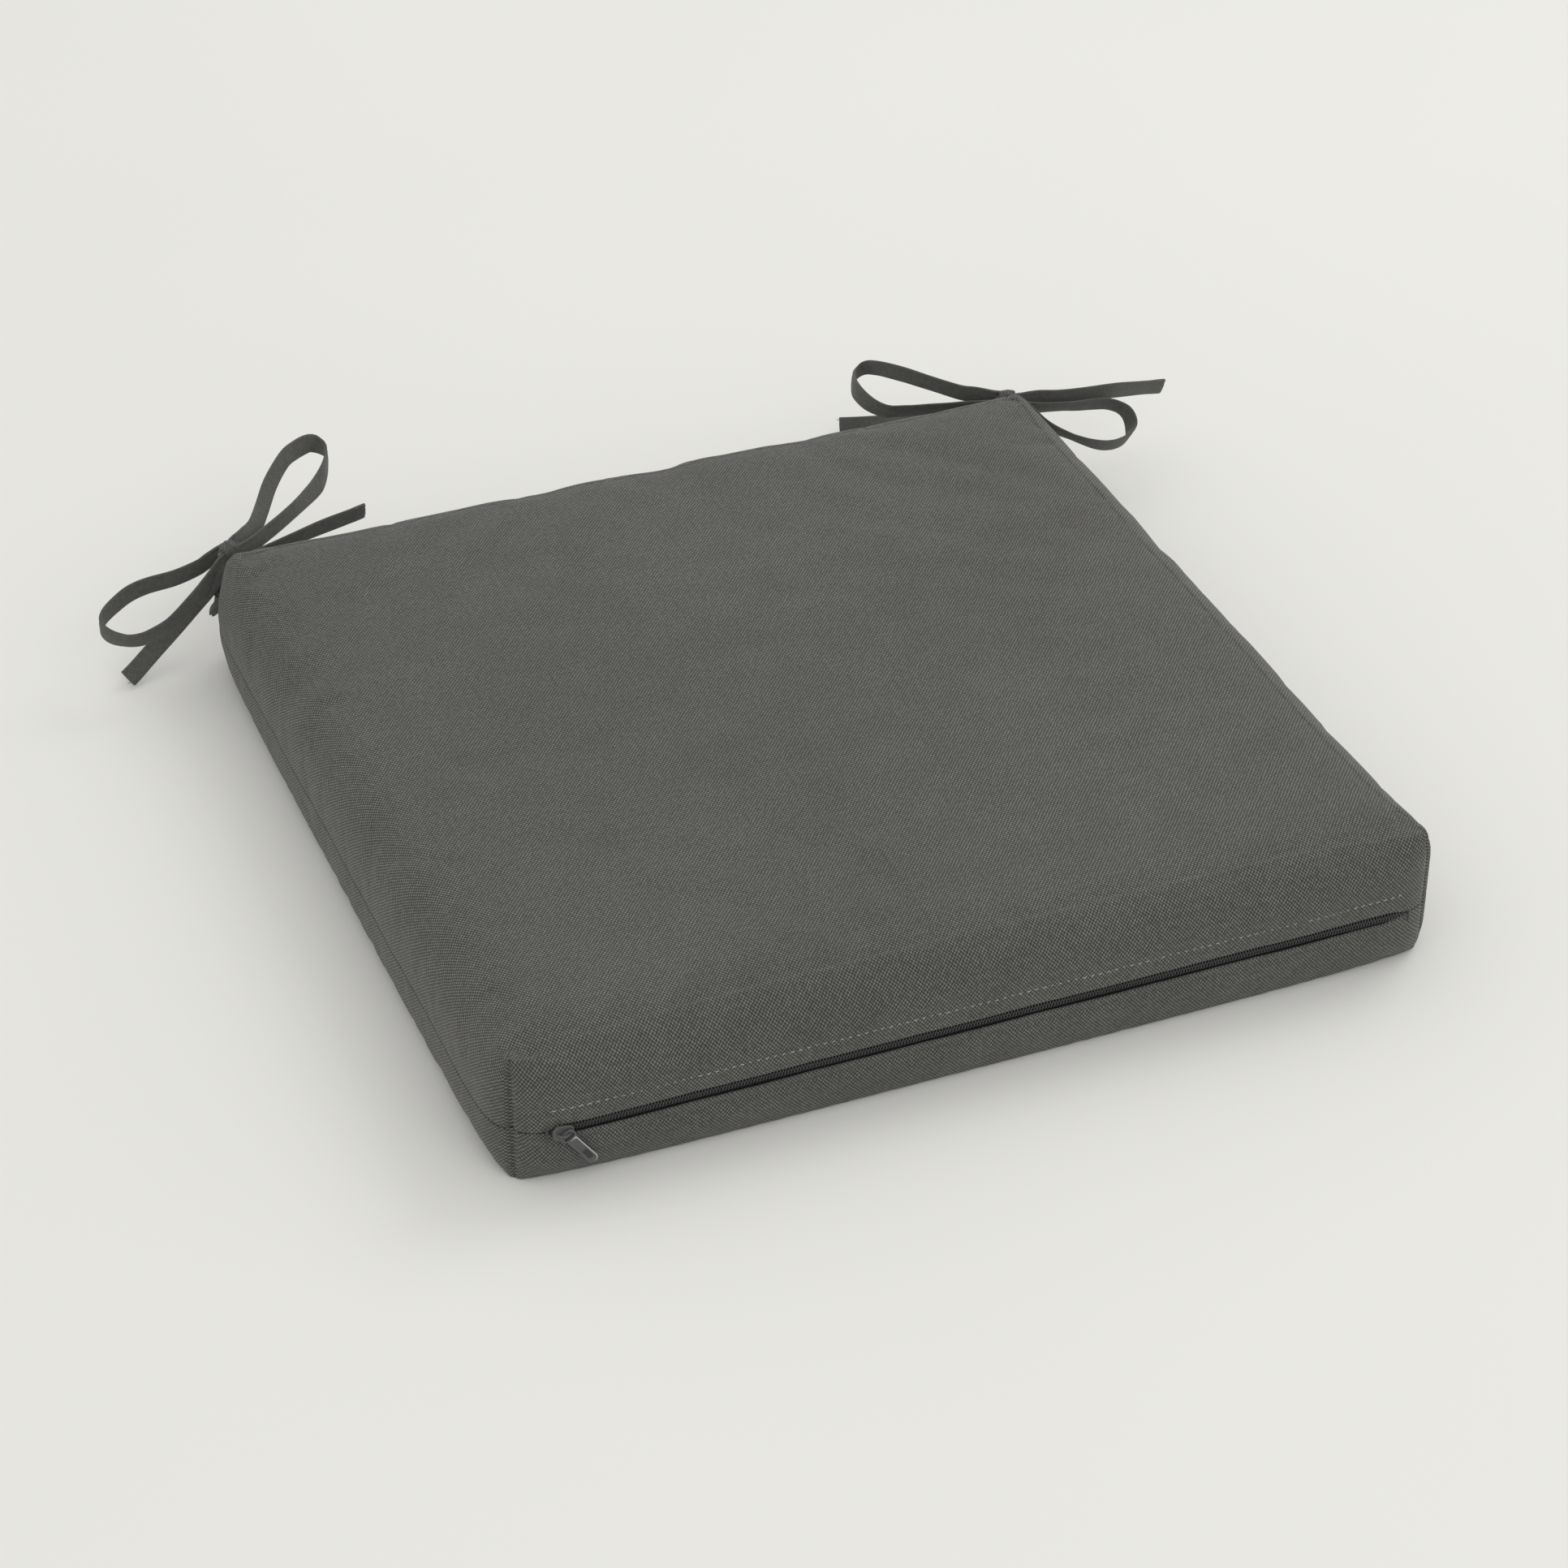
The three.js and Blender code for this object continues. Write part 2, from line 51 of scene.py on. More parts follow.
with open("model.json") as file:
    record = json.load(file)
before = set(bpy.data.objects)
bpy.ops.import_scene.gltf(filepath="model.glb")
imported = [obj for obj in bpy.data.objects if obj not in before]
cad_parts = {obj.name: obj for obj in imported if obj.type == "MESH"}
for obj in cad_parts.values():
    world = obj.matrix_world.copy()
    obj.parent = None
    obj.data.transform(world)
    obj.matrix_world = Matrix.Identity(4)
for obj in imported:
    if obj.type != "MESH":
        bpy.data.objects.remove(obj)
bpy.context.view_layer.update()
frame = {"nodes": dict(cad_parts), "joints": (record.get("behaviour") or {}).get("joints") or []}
MM = 0.001
HALF_TURN = math.pi
QUARTER_TURN = math.pi / 2

COVER_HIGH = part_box("cover_top_panel")[1]
SEAM_HEIGHT = (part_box("cover_bottom_panel")[1].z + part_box("cover_top_panel")[0].z) / 2
SEAM_HALF = COVER_HIGH.x
SLIDER_LOW, SLIDER_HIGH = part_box("zipper_slider")
SLIDER_X = (SLIDER_LOW.x + SLIDER_HIGH.x) / 2


# ---- Sizes and colours ----


def length(name, description, default):
    """A size in metres."""
    return FloatProperty(name=name, description=description, default=default, unit="LENGTH", precision=4)


def colour(name, description, default):
    """A linear colour."""
    return FloatVectorProperty(
        name=name, description=description, default=default, subtype="COLOR", size=3, min=0, max=1
    )


class CoverSizes(PropertyGroup):
    side: length("Side", "Between two corner seams", 0.457)
    height: length("Height", "Of the top edge over the underside", 0.0665)
    crown: length("Crown", "Extra height in the middle of the top", 0.002)
    bulge: length("Bulge", "How far the seam swells past the corners", SEAM_HALF - 0.2285)
    shoulder: length("Shoulder", "How far a side draws in from the seam up to the top", 0.020)
    heel: length("Heel", "How far a side draws in from the seam down to the underside", 0.005)
    front_inset: length("Front corner inset", "The same at a front corner seam", 0.001)
    back_inset: length("Back corner inset", "The same at a back corner seam, where the ties pull", 0.0085)
    corner_reach: length("Corner reach", "Length over which the seam swells out from its corner", 0.009)
    shoulder_reach: length("Shoulder reach", "Length over which the shoulder becomes round", 0.034)
    cloth: length("Cloth", "Thickness of the woven cloth", 0.0006)
    seam_gap: length("Seam gap", "Between the two panels where they are sewn", 0.0003)
    seam_roll: length("Seam roll", "Radius of the cloth turned in at the seam", 0.0009)
    seam_depth: length("Seam depth", "How far the turned cloth runs in", 0.006)
    hem_roll: length("Hem roll", "Radius of the fold beside the zipper", 0.0009)
    zip_end: length("Closed end", "Seam sewn shut past each end of the zipper", 0.0155)
    zip_opening: length("Opening", "Height of the gap over the zipper's coil", 0.0075)
    ripple: length("Ripple", "Height of the cloth's slow waves", 0.00032)
    swell_limit: length("Swell limit", "The most that the simulated cloth moves", 0.003)


class ClothLook(PropertyGroup):
    # light is the yarn's own colour; dark is painted shade, put in the gaps between the yarns.
    light: colour("Light yarn", "Top of the yarn", (0.200, 0.200, 0.186))
    dark: colour("Dark yarn", "Between the yarns", (0.028, 0.028, 0.026))
    warp: length("Warp", "Width of one warp yarn", 0.00093)
    weft: length("Weft", "Width of one weft yarn", 0.00110)
    relief: length("Relief", "Height of the weave", 0.00025)


class TieSizes(PropertyGroup):
    width: length("Width", "Of the folded strap", 0.010)
    thickness: length("Thickness", "Of the folded strap", 0.0019)
    hem: length("Hem", "Folded end of each tail", 0.008)


class StitchSizes(PropertyGroup):
    pitch: length("Pitch", "From stitch to stitch", 0.004)
    stitch: length("Stitch", "Thread that shows between two holes", 0.0025)
    thread: length("Thread", "Thickness of the thread", 0.00052)
    above: length("Above", "Topstitch line over the seam", 0.0115)
    below: length("Below", "Topstitch line under the seam", 0.007)
    colour: colour("Colour", "Of the thread over the zipper", (0.56, 0.56, 0.53))
    # The thread under the zipper is the same thread as above, darkened as painted shade because it faces
    # down.
    painted_shade_colour_below: colour("Colour below", "Of the thread under the zipper", (0.13, 0.13, 0.125))
    colour_tack: colour("Colour of the tacks", "Thread at the zipper's ends", (0.05, 0.05, 0.05))


class ZipperSizes(PropertyGroup):
    pitch: length("Coil pitch", "From turn to turn of one coil", 0.0015)
    filament: length("Filament", "Thickness of the coil's nylon", 0.00062)
    plate: length("Plate", "Thickness of the slider's plates", 0.0011)
    colour: colour("Nylon", "Colour of the coil", (0.035, 0.035, 0.036))
    metal: colour("Metal", "Lacquer of the slider and its pull", (0.072, 0.072, 0.074))


class StageSettings(PropertyGroup):
    azimuth: FloatProperty(name="Azimuth", description="Of the camera", default=22.1)
    elevation: FloatProperty(name="Elevation", description="Of the camera", default=34.944)
    lens: FloatProperty(name="Lens", description="Focal length, in millimetres", default=95.07)
    floor: colour("Floor", "Pale floor", (0.835, 0.833, 0.808))


# ---- Surfaces ----


def grid_faces(rows, columns, first=0, wrap=False):
    """Faces of a grid of points, row by row. With wrap, each row closes on itself."""
    row, column = np.meshgrid(np.arange(rows - 1), np.arange(columns if wrap else columns - 1), indexing="ij")
    after = (column + 1) % columns
    corners = [
        row * columns + column,
        row * columns + after,
        (row + 1) * columns + after,
        (row + 1) * columns + column,
    ]
    return first + np.stack(corners, axis=-1).reshape(-1, 4)


def welded(points, faces, within=1e-6):
    """Points closer than a hair become one, and the faces follow."""
    keys = np.round(points / within).astype(np.int64)
    _, keep, group = np.unique(keys, axis=0, return_index=True, return_inverse=True)
    return points[keep], group.reshape(-1)[faces], group.reshape(-1)


def new_piece(name, points, faces, material, uv=None, caps=(), flat=False):
    """A mesh object from arrays. uv has one pair for each corner of faces, and caps are end faces."""
    mesh = bpy.data.meshes.new(name)
    mesh.from_pydata(np.asarray(points).tolist(), [], faces.tolist() + [list(cap) for cap in caps])
    layer = mesh.uv_layers.new(name="cloth")
    flat_uv = np.zeros((len(mesh.loops), 2), np.float32)
    if uv is not None:
        flat_uv[: faces.size] = np.asarray(uv).reshape(-1, 2)
    layer.data.foreach_set("uv", flat_uv.ravel())
    mesh.polygons.foreach_set("use_smooth", np.full(len(mesh.polygons), not flat))
    mesh.materials.append(material)
    made = bpy.data.objects.new(name, mesh)
    bpy.context.scene.collection.objects.link(made)
    return made


def even_line(points, step):
    """A smooth curve through the points (Catmull-Rom), as points about a step apart."""
    points = np.asarray(points, float)
    at = np.linspace(0, 1, 40 * len(points))
    dense = blend_weights(len(points), at) @ points
    run = np.concatenate([[0], np.cumsum(np.linalg.norm(np.diff(dense, axis=0), axis=1))])
    places = np.linspace(0, run[-1], max(2, round(run[-1] / step) + 1))
    shares = np.interp(places, run, at)
    return blend_weights(len(points), shares) @ points, places, shares


def blend_weights(count, at):
    """Weights that carry count even samples over 0..1 to the places in at, by Catmull-Rom."""
    place = np.clip(at, 0, 1) * (count - 1)
    cell = np.minimum(place.astype(int), count - 2)
    t = place - cell
    parts = [
        (-t + 2 * t**2 - t**3) / 2,
        (2 - 5 * t**2 + 3 * t**3) / 2,
        (t + 4 * t**2 - 3 * t**3) / 2,
        (t**3 - t**2) / 2,
    ]
    weights = np.zeros((len(at), count))
    for offset, part in enumerate(parts):
        np.add.at(weights, (np.arange(len(at)), np.clip(cell + offset - 1, 0, count - 1)), part)
    return weights


def unit(vectors):
    """The same directions, each one long."""
    return vectors / np.maximum(np.linalg.norm(vectors, axis=-1, keepdims=True), 1e-12)


def swept(path, profile, across, up, first=0, closed=False):
    """A profile (columns: across, up) carried along a path, one ring for each point of the path."""
    rings = path[:, None] + profile[..., :1] * across[:, None] + profile[..., 1:] * up[:, None]
    rows, columns = rings.shape[:2]
    faces = grid_faces(rows, columns, first, wrap=True)
    if closed:
        last = first + (rows - 1) * columns + np.arange(columns)
        start = first + np.arange(columns)
        bridge = np.stack([last, np.roll(last, -1), np.roll(start, -1), start], axis=-1)
        return rings.reshape(-1, 3), np.concatenate([faces, bridge]), ()
    caps = (first + np.arange(columns)[::-1], first + (rows - 1) * columns + np.arange(columns))
    return rings.reshape(-1, 3), faces, caps


def joined(shells):
    """Several closed shells (points, faces, caps) as one set of arrays."""
    points, faces, caps, first = [], [], [], 0
    for shell_points, shell_faces, shell_caps in shells:
        points.append(shell_points)
        faces.append(shell_faces + first)
        caps += [np.asarray(cap) + first for cap in shell_caps]
        first += len(shell_points)
    return np.concatenate(points), np.concatenate(faces), caps


def smooth_step(low, high, value):
    """0 below low, 1 above high, and smooth between them."""
    share = np.clip((value - low) / (high - low), 0, 1)
    return share * share * (3 - 2 * share)


# ---- Materials ----


def shader(name, roughness, metallic=0.0, sheen=0.0, coat=0.0):
    """A material whose Principled shader takes its even values on its own sockets."""
    material = bpy.data.materials.new(name)
    material.use_nodes = True
    principled = material.node_tree.nodes["Principled BSDF"]
    principled.inputs["Roughness"].default_value = roughness
    principled.inputs["Metallic"].default_value = metallic
    principled.inputs["Sheen Weight"].default_value = sheen
    principled.inputs["Sheen Roughness"].default_value = 0.5
    principled.inputs["Coat Weight"].default_value = coat
    return material, principled


class Nodes:
    """Short hands for laying out one node tree."""

    def __init__(self, tree):
        self.tree = tree

    def add(self, kind, **values):
        node = self.tree.nodes.new(kind)
        for key, value in values.items():
            setattr(node, key, value)
        return node

    def put(self, socket, value):
        if isinstance(value, bpy.types.NodeSocket):
            self.tree.links.new(value, socket)
        else:
            socket.default_value = value

    def maths(self, operation, *values):
        node = self.add("ShaderNodeMath", operation=operation)
        for socket, value in zip(node.inputs, values):
            self.put(socket, value)
        return node.outputs[0]

    def noise(self, vector, scale, detail=2.0):
        node = self.add("ShaderNodeTexNoise")
        self.put(node.inputs["Vector"], vector)
        node.inputs["Scale"].default_value = scale
        node.inputs["Detail"].default_value = detail
        return node.outputs["Fac"]

    def mix(self, share, first, second):
        node = self.add("ShaderNodeMix", data_type="RGBA")
        self.put(node.inputs["Factor"], share)
        for socket, value in ((node.inputs[6], first), (node.inputs[7], second)):
            self.put(socket, value if isinstance(value, bpy.types.NodeSocket) else (*value, 1.0))
        return node.outputs[2]

    def ramp(self, value, low, high, to_low=0.0, to_high=1.0):
        node = self.add("ShaderNodeMapRange", interpolation_type="SMOOTHSTEP")
        for socket, given in zip(node.inputs, (value, low, high, to_low, to_high)):
            self.put(socket, given)
        return node.outputs[0]

    def bump(self, height, distance, strength=1.0, normal=None):
        node = self.add("ShaderNodeBump")
        self.put(node.inputs["Height"], height)
        node.inputs["Distance"].default_value = distance
        node.inputs["Strength"].default_value = strength
        if normal is not None:
            self.put(node.inputs["Normal"], normal)
        return node.outputs["Normal"]


def weave_group():
    """Plain weave on a flat (u, v) in metres: sin(pi u / warp) times sin(pi v / weft) is above 0 on each
    crossing where the warp lies on top. Slow noise bends the yarns and makes some thicker."""
    if "plain_weave" in bpy.data.node_groups:
        return bpy.data.node_groups["plain_weave"]
    group = bpy.data.node_groups.new("plain_weave", "ShaderNodeTree")
    face = group.interface
    face.new_socket("Vector", in_out="INPUT", socket_type="NodeSocketVector")
    for name in ("Warp", "Weft", "Unevenness"):
        face.new_socket(name, in_out="INPUT", socket_type="NodeSocketFloat")
    for name in ("Yarn", "Height", "Slub"):
        face.new_socket(name, in_out="OUTPUT", socket_type="NodeSocketFloat")
    n = Nodes(group)
    given, result = n.add("NodeGroupInput"), n.add("NodeGroupOutput")
    vector = given.outputs["Vector"]
    drift = n.add("ShaderNodeTexNoise")
    n.put(drift.inputs["Vector"], vector)
    drift.inputs["Scale"].default_value = 260.0
    drift.inputs["Detail"].default_value = 1.0
    parts = n.add("ShaderNodeSeparateXYZ")
    n.put(parts.inputs[0], vector)
    bends = n.add("ShaderNodeSeparateColor")
    n.put(bends.inputs[0], drift.outputs["Color"])
    waves = []
    for axis, width in ((0, "Warp"), (1, "Weft")):
        turns = n.maths("DIVIDE", parts.outputs[axis], given.outputs[width])
        bend = n.maths("MULTIPLY", n.maths("SUBTRACT", bends.outputs[axis], 0.5), given.outputs["Unevenness"])
        phase = n.maths("MULTIPLY", n.maths("ADD", turns, bend), HALF_TURN)
        waves.append(n.maths("SINE", phase))
    crossing = n.maths("MULTIPLY", waves[0], waves[1])
    slub = n.noise(vector, 420.0, 2.0)
    across_warp = n.maths("ABSOLUTE", waves[0])
    yarn = n.ramp(n.maths("MULTIPLY", crossing, across_warp), -0.46, 0.84)
    valleys = n.maths("MULTIPLY", across_warp, n.maths("ABSOLUTE", waves[1]))
    height = n.maths("ADD", n.maths("MULTIPLY", crossing, 0.45), n.maths("MULTIPLY", valleys, 0.55))
    n.put(result.inputs["Yarn"], yarn)
    n.put(result.inputs["Height"], height)
    n.put(result.inputs["Slub"], slub)
    return group


def cloth_material(name, tone=1.0, turned=False, dots=1.0, scale=1.0):
    """Woven polyester: light yarn tops over gaps painted dark as shade, with slow changes of tone and a soft
    sheen.
    """
    look = bpy.context.scene.pad_cloth
    material, principled = shader(name, roughness=0.82, sheen=0.12)
    n = Nodes(material.node_tree)
    flat = n.add("ShaderNodeUVMap", uv_map="cloth").outputs["UV"]
    weave = n.add("ShaderNodeGroup")
    weave.node_tree = weave_group()
    n.put(weave.inputs["Vector"], flat)
    widths = (look.weft, look.warp) if turned else (look.warp, look.weft)
    weave.inputs["Warp"].default_value = widths[0] * scale
    weave.inputs["Weft"].default_value = widths[1] * scale
    weave.inputs["Unevenness"].default_value = 0.8
    place = n.add("ShaderNodeTexCoord").outputs["Object"]
    slow = n.noise(place, 9.0, 3.0)
    fine = n.noise(place, 60.0, 2.0)
    dark = tuple(channel * tone for channel in look.dark)
    light = tuple(channel * tone for channel in look.light)
    share = n.maths(
        "MULTIPLY", weave.outputs["Yarn"],
        n.ramp(weave.outputs["Slub"], 0.25, 0.75, 0.55 * dots, 1.25 * dots))
    # Painted shade: the dark colour fills the gaps between the yarn tops; the light colour is the yarn's own.
    yarn = n.mix(share, dark, light)
    shade = n.maths("ADD", n.ramp(slow, 0.3, 0.7, 0.93, 1.05), n.ramp(fine, 0.3, 0.7, -0.05, 0.05))
    toned = n.add("ShaderNodeVectorMath", operation="SCALE")
    n.put(toned.inputs[0], yarn)
    n.put(toned.inputs["Scale"], shade)
    n.put(principled.inputs["Base Color"], toned.outputs[0])
    n.put(principled.inputs["Roughness"], n.ramp(weave.outputs["Yarn"], 0.0, 1.0, 0.92, 0.68))
    n.put(principled.inputs["Normal"], n.bump(weave.outputs["Height"], look.relief * scale))
    return material


def thread_material(name, base):
    """Twisted sewing thread: fine slanted plies along the thread, with painted shade darkening the grooves
    between them.
    """
    material, principled = shader(name, roughness=0.6, sheen=0.2)
    n = Nodes(material.node_tree)
    parts = n.add("ShaderNodeSeparateXYZ")
    n.put(parts.inputs[0], n.add("ShaderNodeTexCoord").outputs["Object"])
    slant = n.maths(
        "ADD", n.maths("MULTIPLY", parts.outputs[0], 9000.0),
        n.maths("MULTIPLY", parts.outputs[2], 9000.0))
    ply = n.maths("SINE", slant)
    # Painted shade: the grooves between the plies take 0.6 of the thread's colour.
    n.put(
        principled.inputs["Base Color"],
        n.mix(n.ramp(ply, -1.0, 1.0), tuple(0.6 * c for c in base), tuple(base)))
    n.put(principled.inputs["Normal"], n.bump(ply, 0.00008))
    return material


def nylon_material():
    """Black nylon with a soft gloss and faint drag marks."""
    material, principled = shader("zipper_nylon", roughness=0.42)
    n = Nodes(material.node_tree)
    place = n.add("ShaderNodeTexCoord").outputs["Object"]
    tone = n.noise(place, 900.0, 2.0)
    base = tuple(bpy.context.scene.pad_zipper.colour)
    n.put(principled.inputs["Base Color"], n.mix(tone, base, tuple(2.2 * c for c in base)))
    n.put(principled.inputs["Roughness"], n.ramp(tone, 0.3, 0.7, 0.34, 0.52))
    return material


def metal_material():
    """Grey lacquered zinc: a brushed grain, a light grey painted highlight along the edges marked by the rim
    attribute, and near-black painted shade where it is below 0."""
    material, principled = shader("lacquered_zinc", roughness=0.40, coat=0.15)
    n = Nodes(material.node_tree)
    place = n.add("ShaderNodeTexCoord").outputs["Object"]
    stretched = n.add("ShaderNodeMapping")
    n.put(stretched.inputs["Vector"], place)
    stretched.inputs["Scale"].default_value = (400.0, 1800.0, 1800.0)
    grain = n.noise(stretched.outputs[0], 1.0, 3.0)
    # The rim attribute says where the pull's highlight and shade are painted.
    rim = n.add("ShaderNodeAttribute", attribute_name="rim").outputs["Fac"]
    base = tuple(bpy.context.scene.pad_zipper.metal)
    toned = n.mix(grain, tuple(0.9 * c for c in base), tuple(1.1 * c for c in base))
    # Painted shade: near-black where the rim attribute is below 0, in the pull's sunk window.
    sunk = n.mix(n.ramp(rim, 0.0, -1.0), toned, (0.02, 0.02, 0.021))
    # Painted highlight: light grey along the pull's rim, strongest on its upper edge.
    n.put(principled.inputs["Base Color"], n.mix(n.ramp(rim, 0.0, 1.0), sunk, (0.42, 0.42, 0.42)))
    n.put(principled.inputs["Roughness"], n.ramp(grain, 0.3, 0.7, 0.30, 0.46))
    n.put(principled.inputs["Normal"], n.bump(grain, 0.00004))
    return material


def tape_material():
    """Black zipper tape: a tight herringbone across it, its troughs darkened as painted shade."""
    material, principled = shader("zipper_tape", roughness=0.85, sheen=0.1)
    n = Nodes(material.node_tree)
    parts = n.add("ShaderNodeSeparateXYZ")
    n.put(parts.inputs[0], n.add("ShaderNodeTexCoord").outputs["Object"])
    rib = n.maths("SINE", n.maths("MULTIPLY", n.maths("ADD", parts.outputs[0], parts.outputs[2]), 6300.0))
    # Painted shade: the troughs between the ribs are darker than the ribs.
    n.put(
        principled.inputs["Base Color"],
        n.mix(n.ramp(rib, -1.0, 1.0), (0.008, 0.008, 0.008), (0.030, 0.030, 0.031)))
    n.put(principled.inputs["Normal"], n.bump(rib, 0.0001))
    return material


def foam_material():
    """Cream foam with open cells, painted darker inside the cells as shade."""
    material, principled = shader("open_cell_foam", roughness=0.95)
    n = Nodes(material.node_tree)
    place = n.add("ShaderNodeTexCoord").outputs["Object"]
    cells = n.add("ShaderNodeTexVoronoi", feature="F1")
    n.put(cells.inputs["Vector"], place)
    cells.inputs["Scale"].default_value = 700.0
    pore = n.ramp(cells.outputs["Distance"], 0.1, 0.6)
    slow = n.noise(place, 14.0, 2.0)
    # Painted shade: the inside of each cell is darker than the cell walls.
    base = n.mix(pore, (0.42, 0.36, 0.20), (0.72, 0.65, 0.44))
    n.put(principled.inputs["Base Color"], n.mix(n.ramp(slow, 0.3, 0.7, 0.0, 0.35), base, (0.62, 0.52, 0.30)))
    n.put(principled.inputs["Normal"], n.bump(pore, 0.0006))
    return material


def wadding_material():
    """White fibre wadding: long tangled fibres, thin in places."""
    material, principled = shader("fibre_wadding", roughness=0.98, sheen=0.3)
    n = Nodes(material.node_tree)
    place = n.add("ShaderNodeTexCoord").outputs["Object"]
    tangle = n.add("ShaderNodeTexNoise")
    n.put(tangle.inputs["Vector"], place)
    tangle.inputs["Scale"].default_value = 160.0
    tangle.inputs["Detail"].default_value = 5.0
    tangle.inputs["Distortion"].default_value = 2.5
    tufts = n.ramp(tangle.outputs["Fac"], 0.35, 0.65)
    n.put(principled.inputs["Base Color"], n.mix(tufts, (0.62, 0.62, 0.60), (0.86, 0.86, 0.85)))
    n.put(principled.inputs["Normal"], n.bump(tangle.outputs["Fac"], 0.0012))
    return material


# ---- The cover's form ----

SIDE_POWER = 2.2  # superellipse power of a side's section
FRONT_POWER = 9.0  # the same at a front corner seam, which is nearly square
BACK_POWER = 2.8  # the same at a back corner seam
TOP, BOTTOM = 1, -1
SIDES = range(4)  # front, right, back, left


class Form:
    """The cover's shape. along runs from -1 to 1 between two corners, and angle from 0 at the seam to a
    quarter turn at the edge of the top or of the underside. A side is a superellipse section between
    those. The section changes from corner to middle by swell()."""

    def __init__(self, sizes):
        self.c = sizes
        self.half = sizes.side / 2
        self.moves = {}

    def swell(self, along, reach):
        """0 at the corner seams, rising to 1 by an exponential."""
        return 1 - np.exp(-(1 - np.abs(along)) * self.half / reach)

    @staticmethod
    def backness(side, along):
        """0 at a front corner and 1 at a back corner, even between them."""
        along = np.asarray(along, float)
        return (np.zeros_like(along), (1 + along) / 2, np.ones_like(along), (1 - along) / 2)[side]

    def power(self, side, along):
        """Superellipse power of the section."""
        corner = FRONT_POWER + (BACK_POWER - FRONT_POWER) * self.backness(side, along)
        return corner + (SIDE_POWER - corner) * self.swell(along, self.c.shoulder_reach * 0.5)

    def opened(self, side, along):
        """1 along the zipper's opening, 0 where the seam is sewn shut."""
        if side != 0:
            return np.zeros_like(along)
        end = self.half - self.c.zip_end
        return 1 - smooth_step(end - 9 * MM, end + 4 * MM, np.abs(along) * self.half)

    def edge_height(self, part, side, along, plain=False):
        """Height at which a panel's side starts to turn in at the seam."""
        if plain:
            return np.full_like(along, SEAM_HEIGHT)
        opened = self.opened(side, along)
        lift = (
            self.c.seam_gap / 2 + self.roll(side, along)
            + opened * (self.c.zip_opening - self.c.seam_gap) / 2)
        return SEAM_HEIGHT + part * (lift - opened * self.c.hem_roll)

    def roll(self, side, along):
        """Radius of the cloth where it turns in."""
        opened = self.opened(side, along)
        return self.c.seam_roll * (1 - opened) + self.c.hem_roll * opened

    def side_points(self, part, side, along, angle, plain=False):
        """Points of one side, as (along, outward, height)."""
        c = self.c
        inset = c.shoulder if part == TOP else c.heel
        ridge = c.height if part == TOP else 0.0
        cosine, sine = np.clip(np.cos(angle), 0, 1), np.clip(np.sin(angle), 0, 1)
        power = self.power(side, along)
        corner_in = c.front_inset + (c.back_inset - c.front_inset) * self.backness(side, along)
        corner_in = corner_in * (1 - cosine ** (2 / 4.0))
        middle_in = inset * (1 - cosine ** (2 / SIDE_POWER)) - c.bulge
        reach = c.corner_reach + (c.shoulder_reach - c.corner_reach) * sine**2
        swell = self.swell(along, reach)
        edge = self.edge_height(part, side, along, plain)
        height = edge + (ridge - edge) * sine ** (2 / power)
        outward = self.half - corner_in - swell * (middle_in - corner_in)
        return np.stack([along * (self.half - corner_in), outward, height], axis=-1)

    def face_points(self, part, across):
        """Points of the top or the underside, between its four edges (a Coons patch), with a crown on top."""
        quarter = np.full_like(across, QUARTER_TURN)
        front, right, back, left = (
            self.placed(self.side_points(part, side, across, quarter), side) for side in SIDES
        )
        back, left = back[::-1], left[::-1]
        s, t = (axis[..., None] for axis in np.meshgrid(across, across, indexing="ij"))
        low_s, low_t = (1 - s) / 2, (1 - t) / 2
        ruled = low_t * front[:, None] + (1 - low_t) * back[:, None]
        ruled = ruled + low_s * left[None] + (1 - low_s) * right[None]
        corners = low_s * (low_t * front[0] + (1 - low_t) * back[0])
        corners = corners + (1 - low_s) * (low_t * front[-1] + (1 - low_t) * back[-1])
        points = ruled - corners
        if part == TOP:
            points[..., 2] += self.c.crown * ((1 - np.abs(s) ** 2.6) * (1 - np.abs(t) ** 2.6))[..., 0]
        return points

    @staticmethod
    def placed(points, side):
        """(along, outward, height) of a side, turned to its place round the pad."""
        along, outward, height = points[..., 0], points[..., 1], points[..., 2]
        x, y = ((along, -outward), (outward, along), (-along, outward), (-outward, -along))[side]
        return np.stack([x, y, height], axis=-1)

    def moved(self, part, side, along, angle, grid=True):
        """How far the simulated cloth moved, at places on a side or, with side None, on a face."""
        moves = self.moves.get((part, side))
        shape = (len(angle), len(along), 3) if grid else (len(along), 3)
        if moves is None:
            return np.zeros(shape)
        columns = blend_weights(moves.shape[1], (np.asarray(along) + 1) / 2)
        share = (np.asarray(angle) + 1) / 2 if side is None else np.asarray(angle) / QUARTER_TURN
        rows = blend_weights(moves.shape[0], share)
        if grid:
            return np.einsum("ri,ijk,cj->rck", rows, moves, columns)
        return np.einsum("pi,ijk,pj->pk", rows, moves, columns)

    def slow_waves(self, points):
        """Slow waves of the cloth, pushed outwards: a sum of sines over the place, less on the underside."""
        rng = np.random.default_rng(7)
        reach = np.array([self.half, self.half, self.c.height / 2])
        centred = (points - np.array([0, 0, self.c.height / 2])) / reach
        outwards = unit(np.sign(centred) * np.abs(centred) ** 6 + 1e-9)
        height = np.zeros(points.shape[:-1])
        for _ in range(14):
            size = 45 * MM + 150 * MM * rng.random()
            heading = unit(rng.normal(size=3) * np.array([1, 1, 0.4]))
            height += (rng.random() - 0.3) * np.sin(
                points @ heading * 2 * HALF_TURN / size + 6.28 * rng.random())
        height *= self.c.ripple / 1.6
        height -= self.edge_dents(points)
        return outwards * (height * smooth_step(0, 12 * MM, points[..., 2]))[..., None]

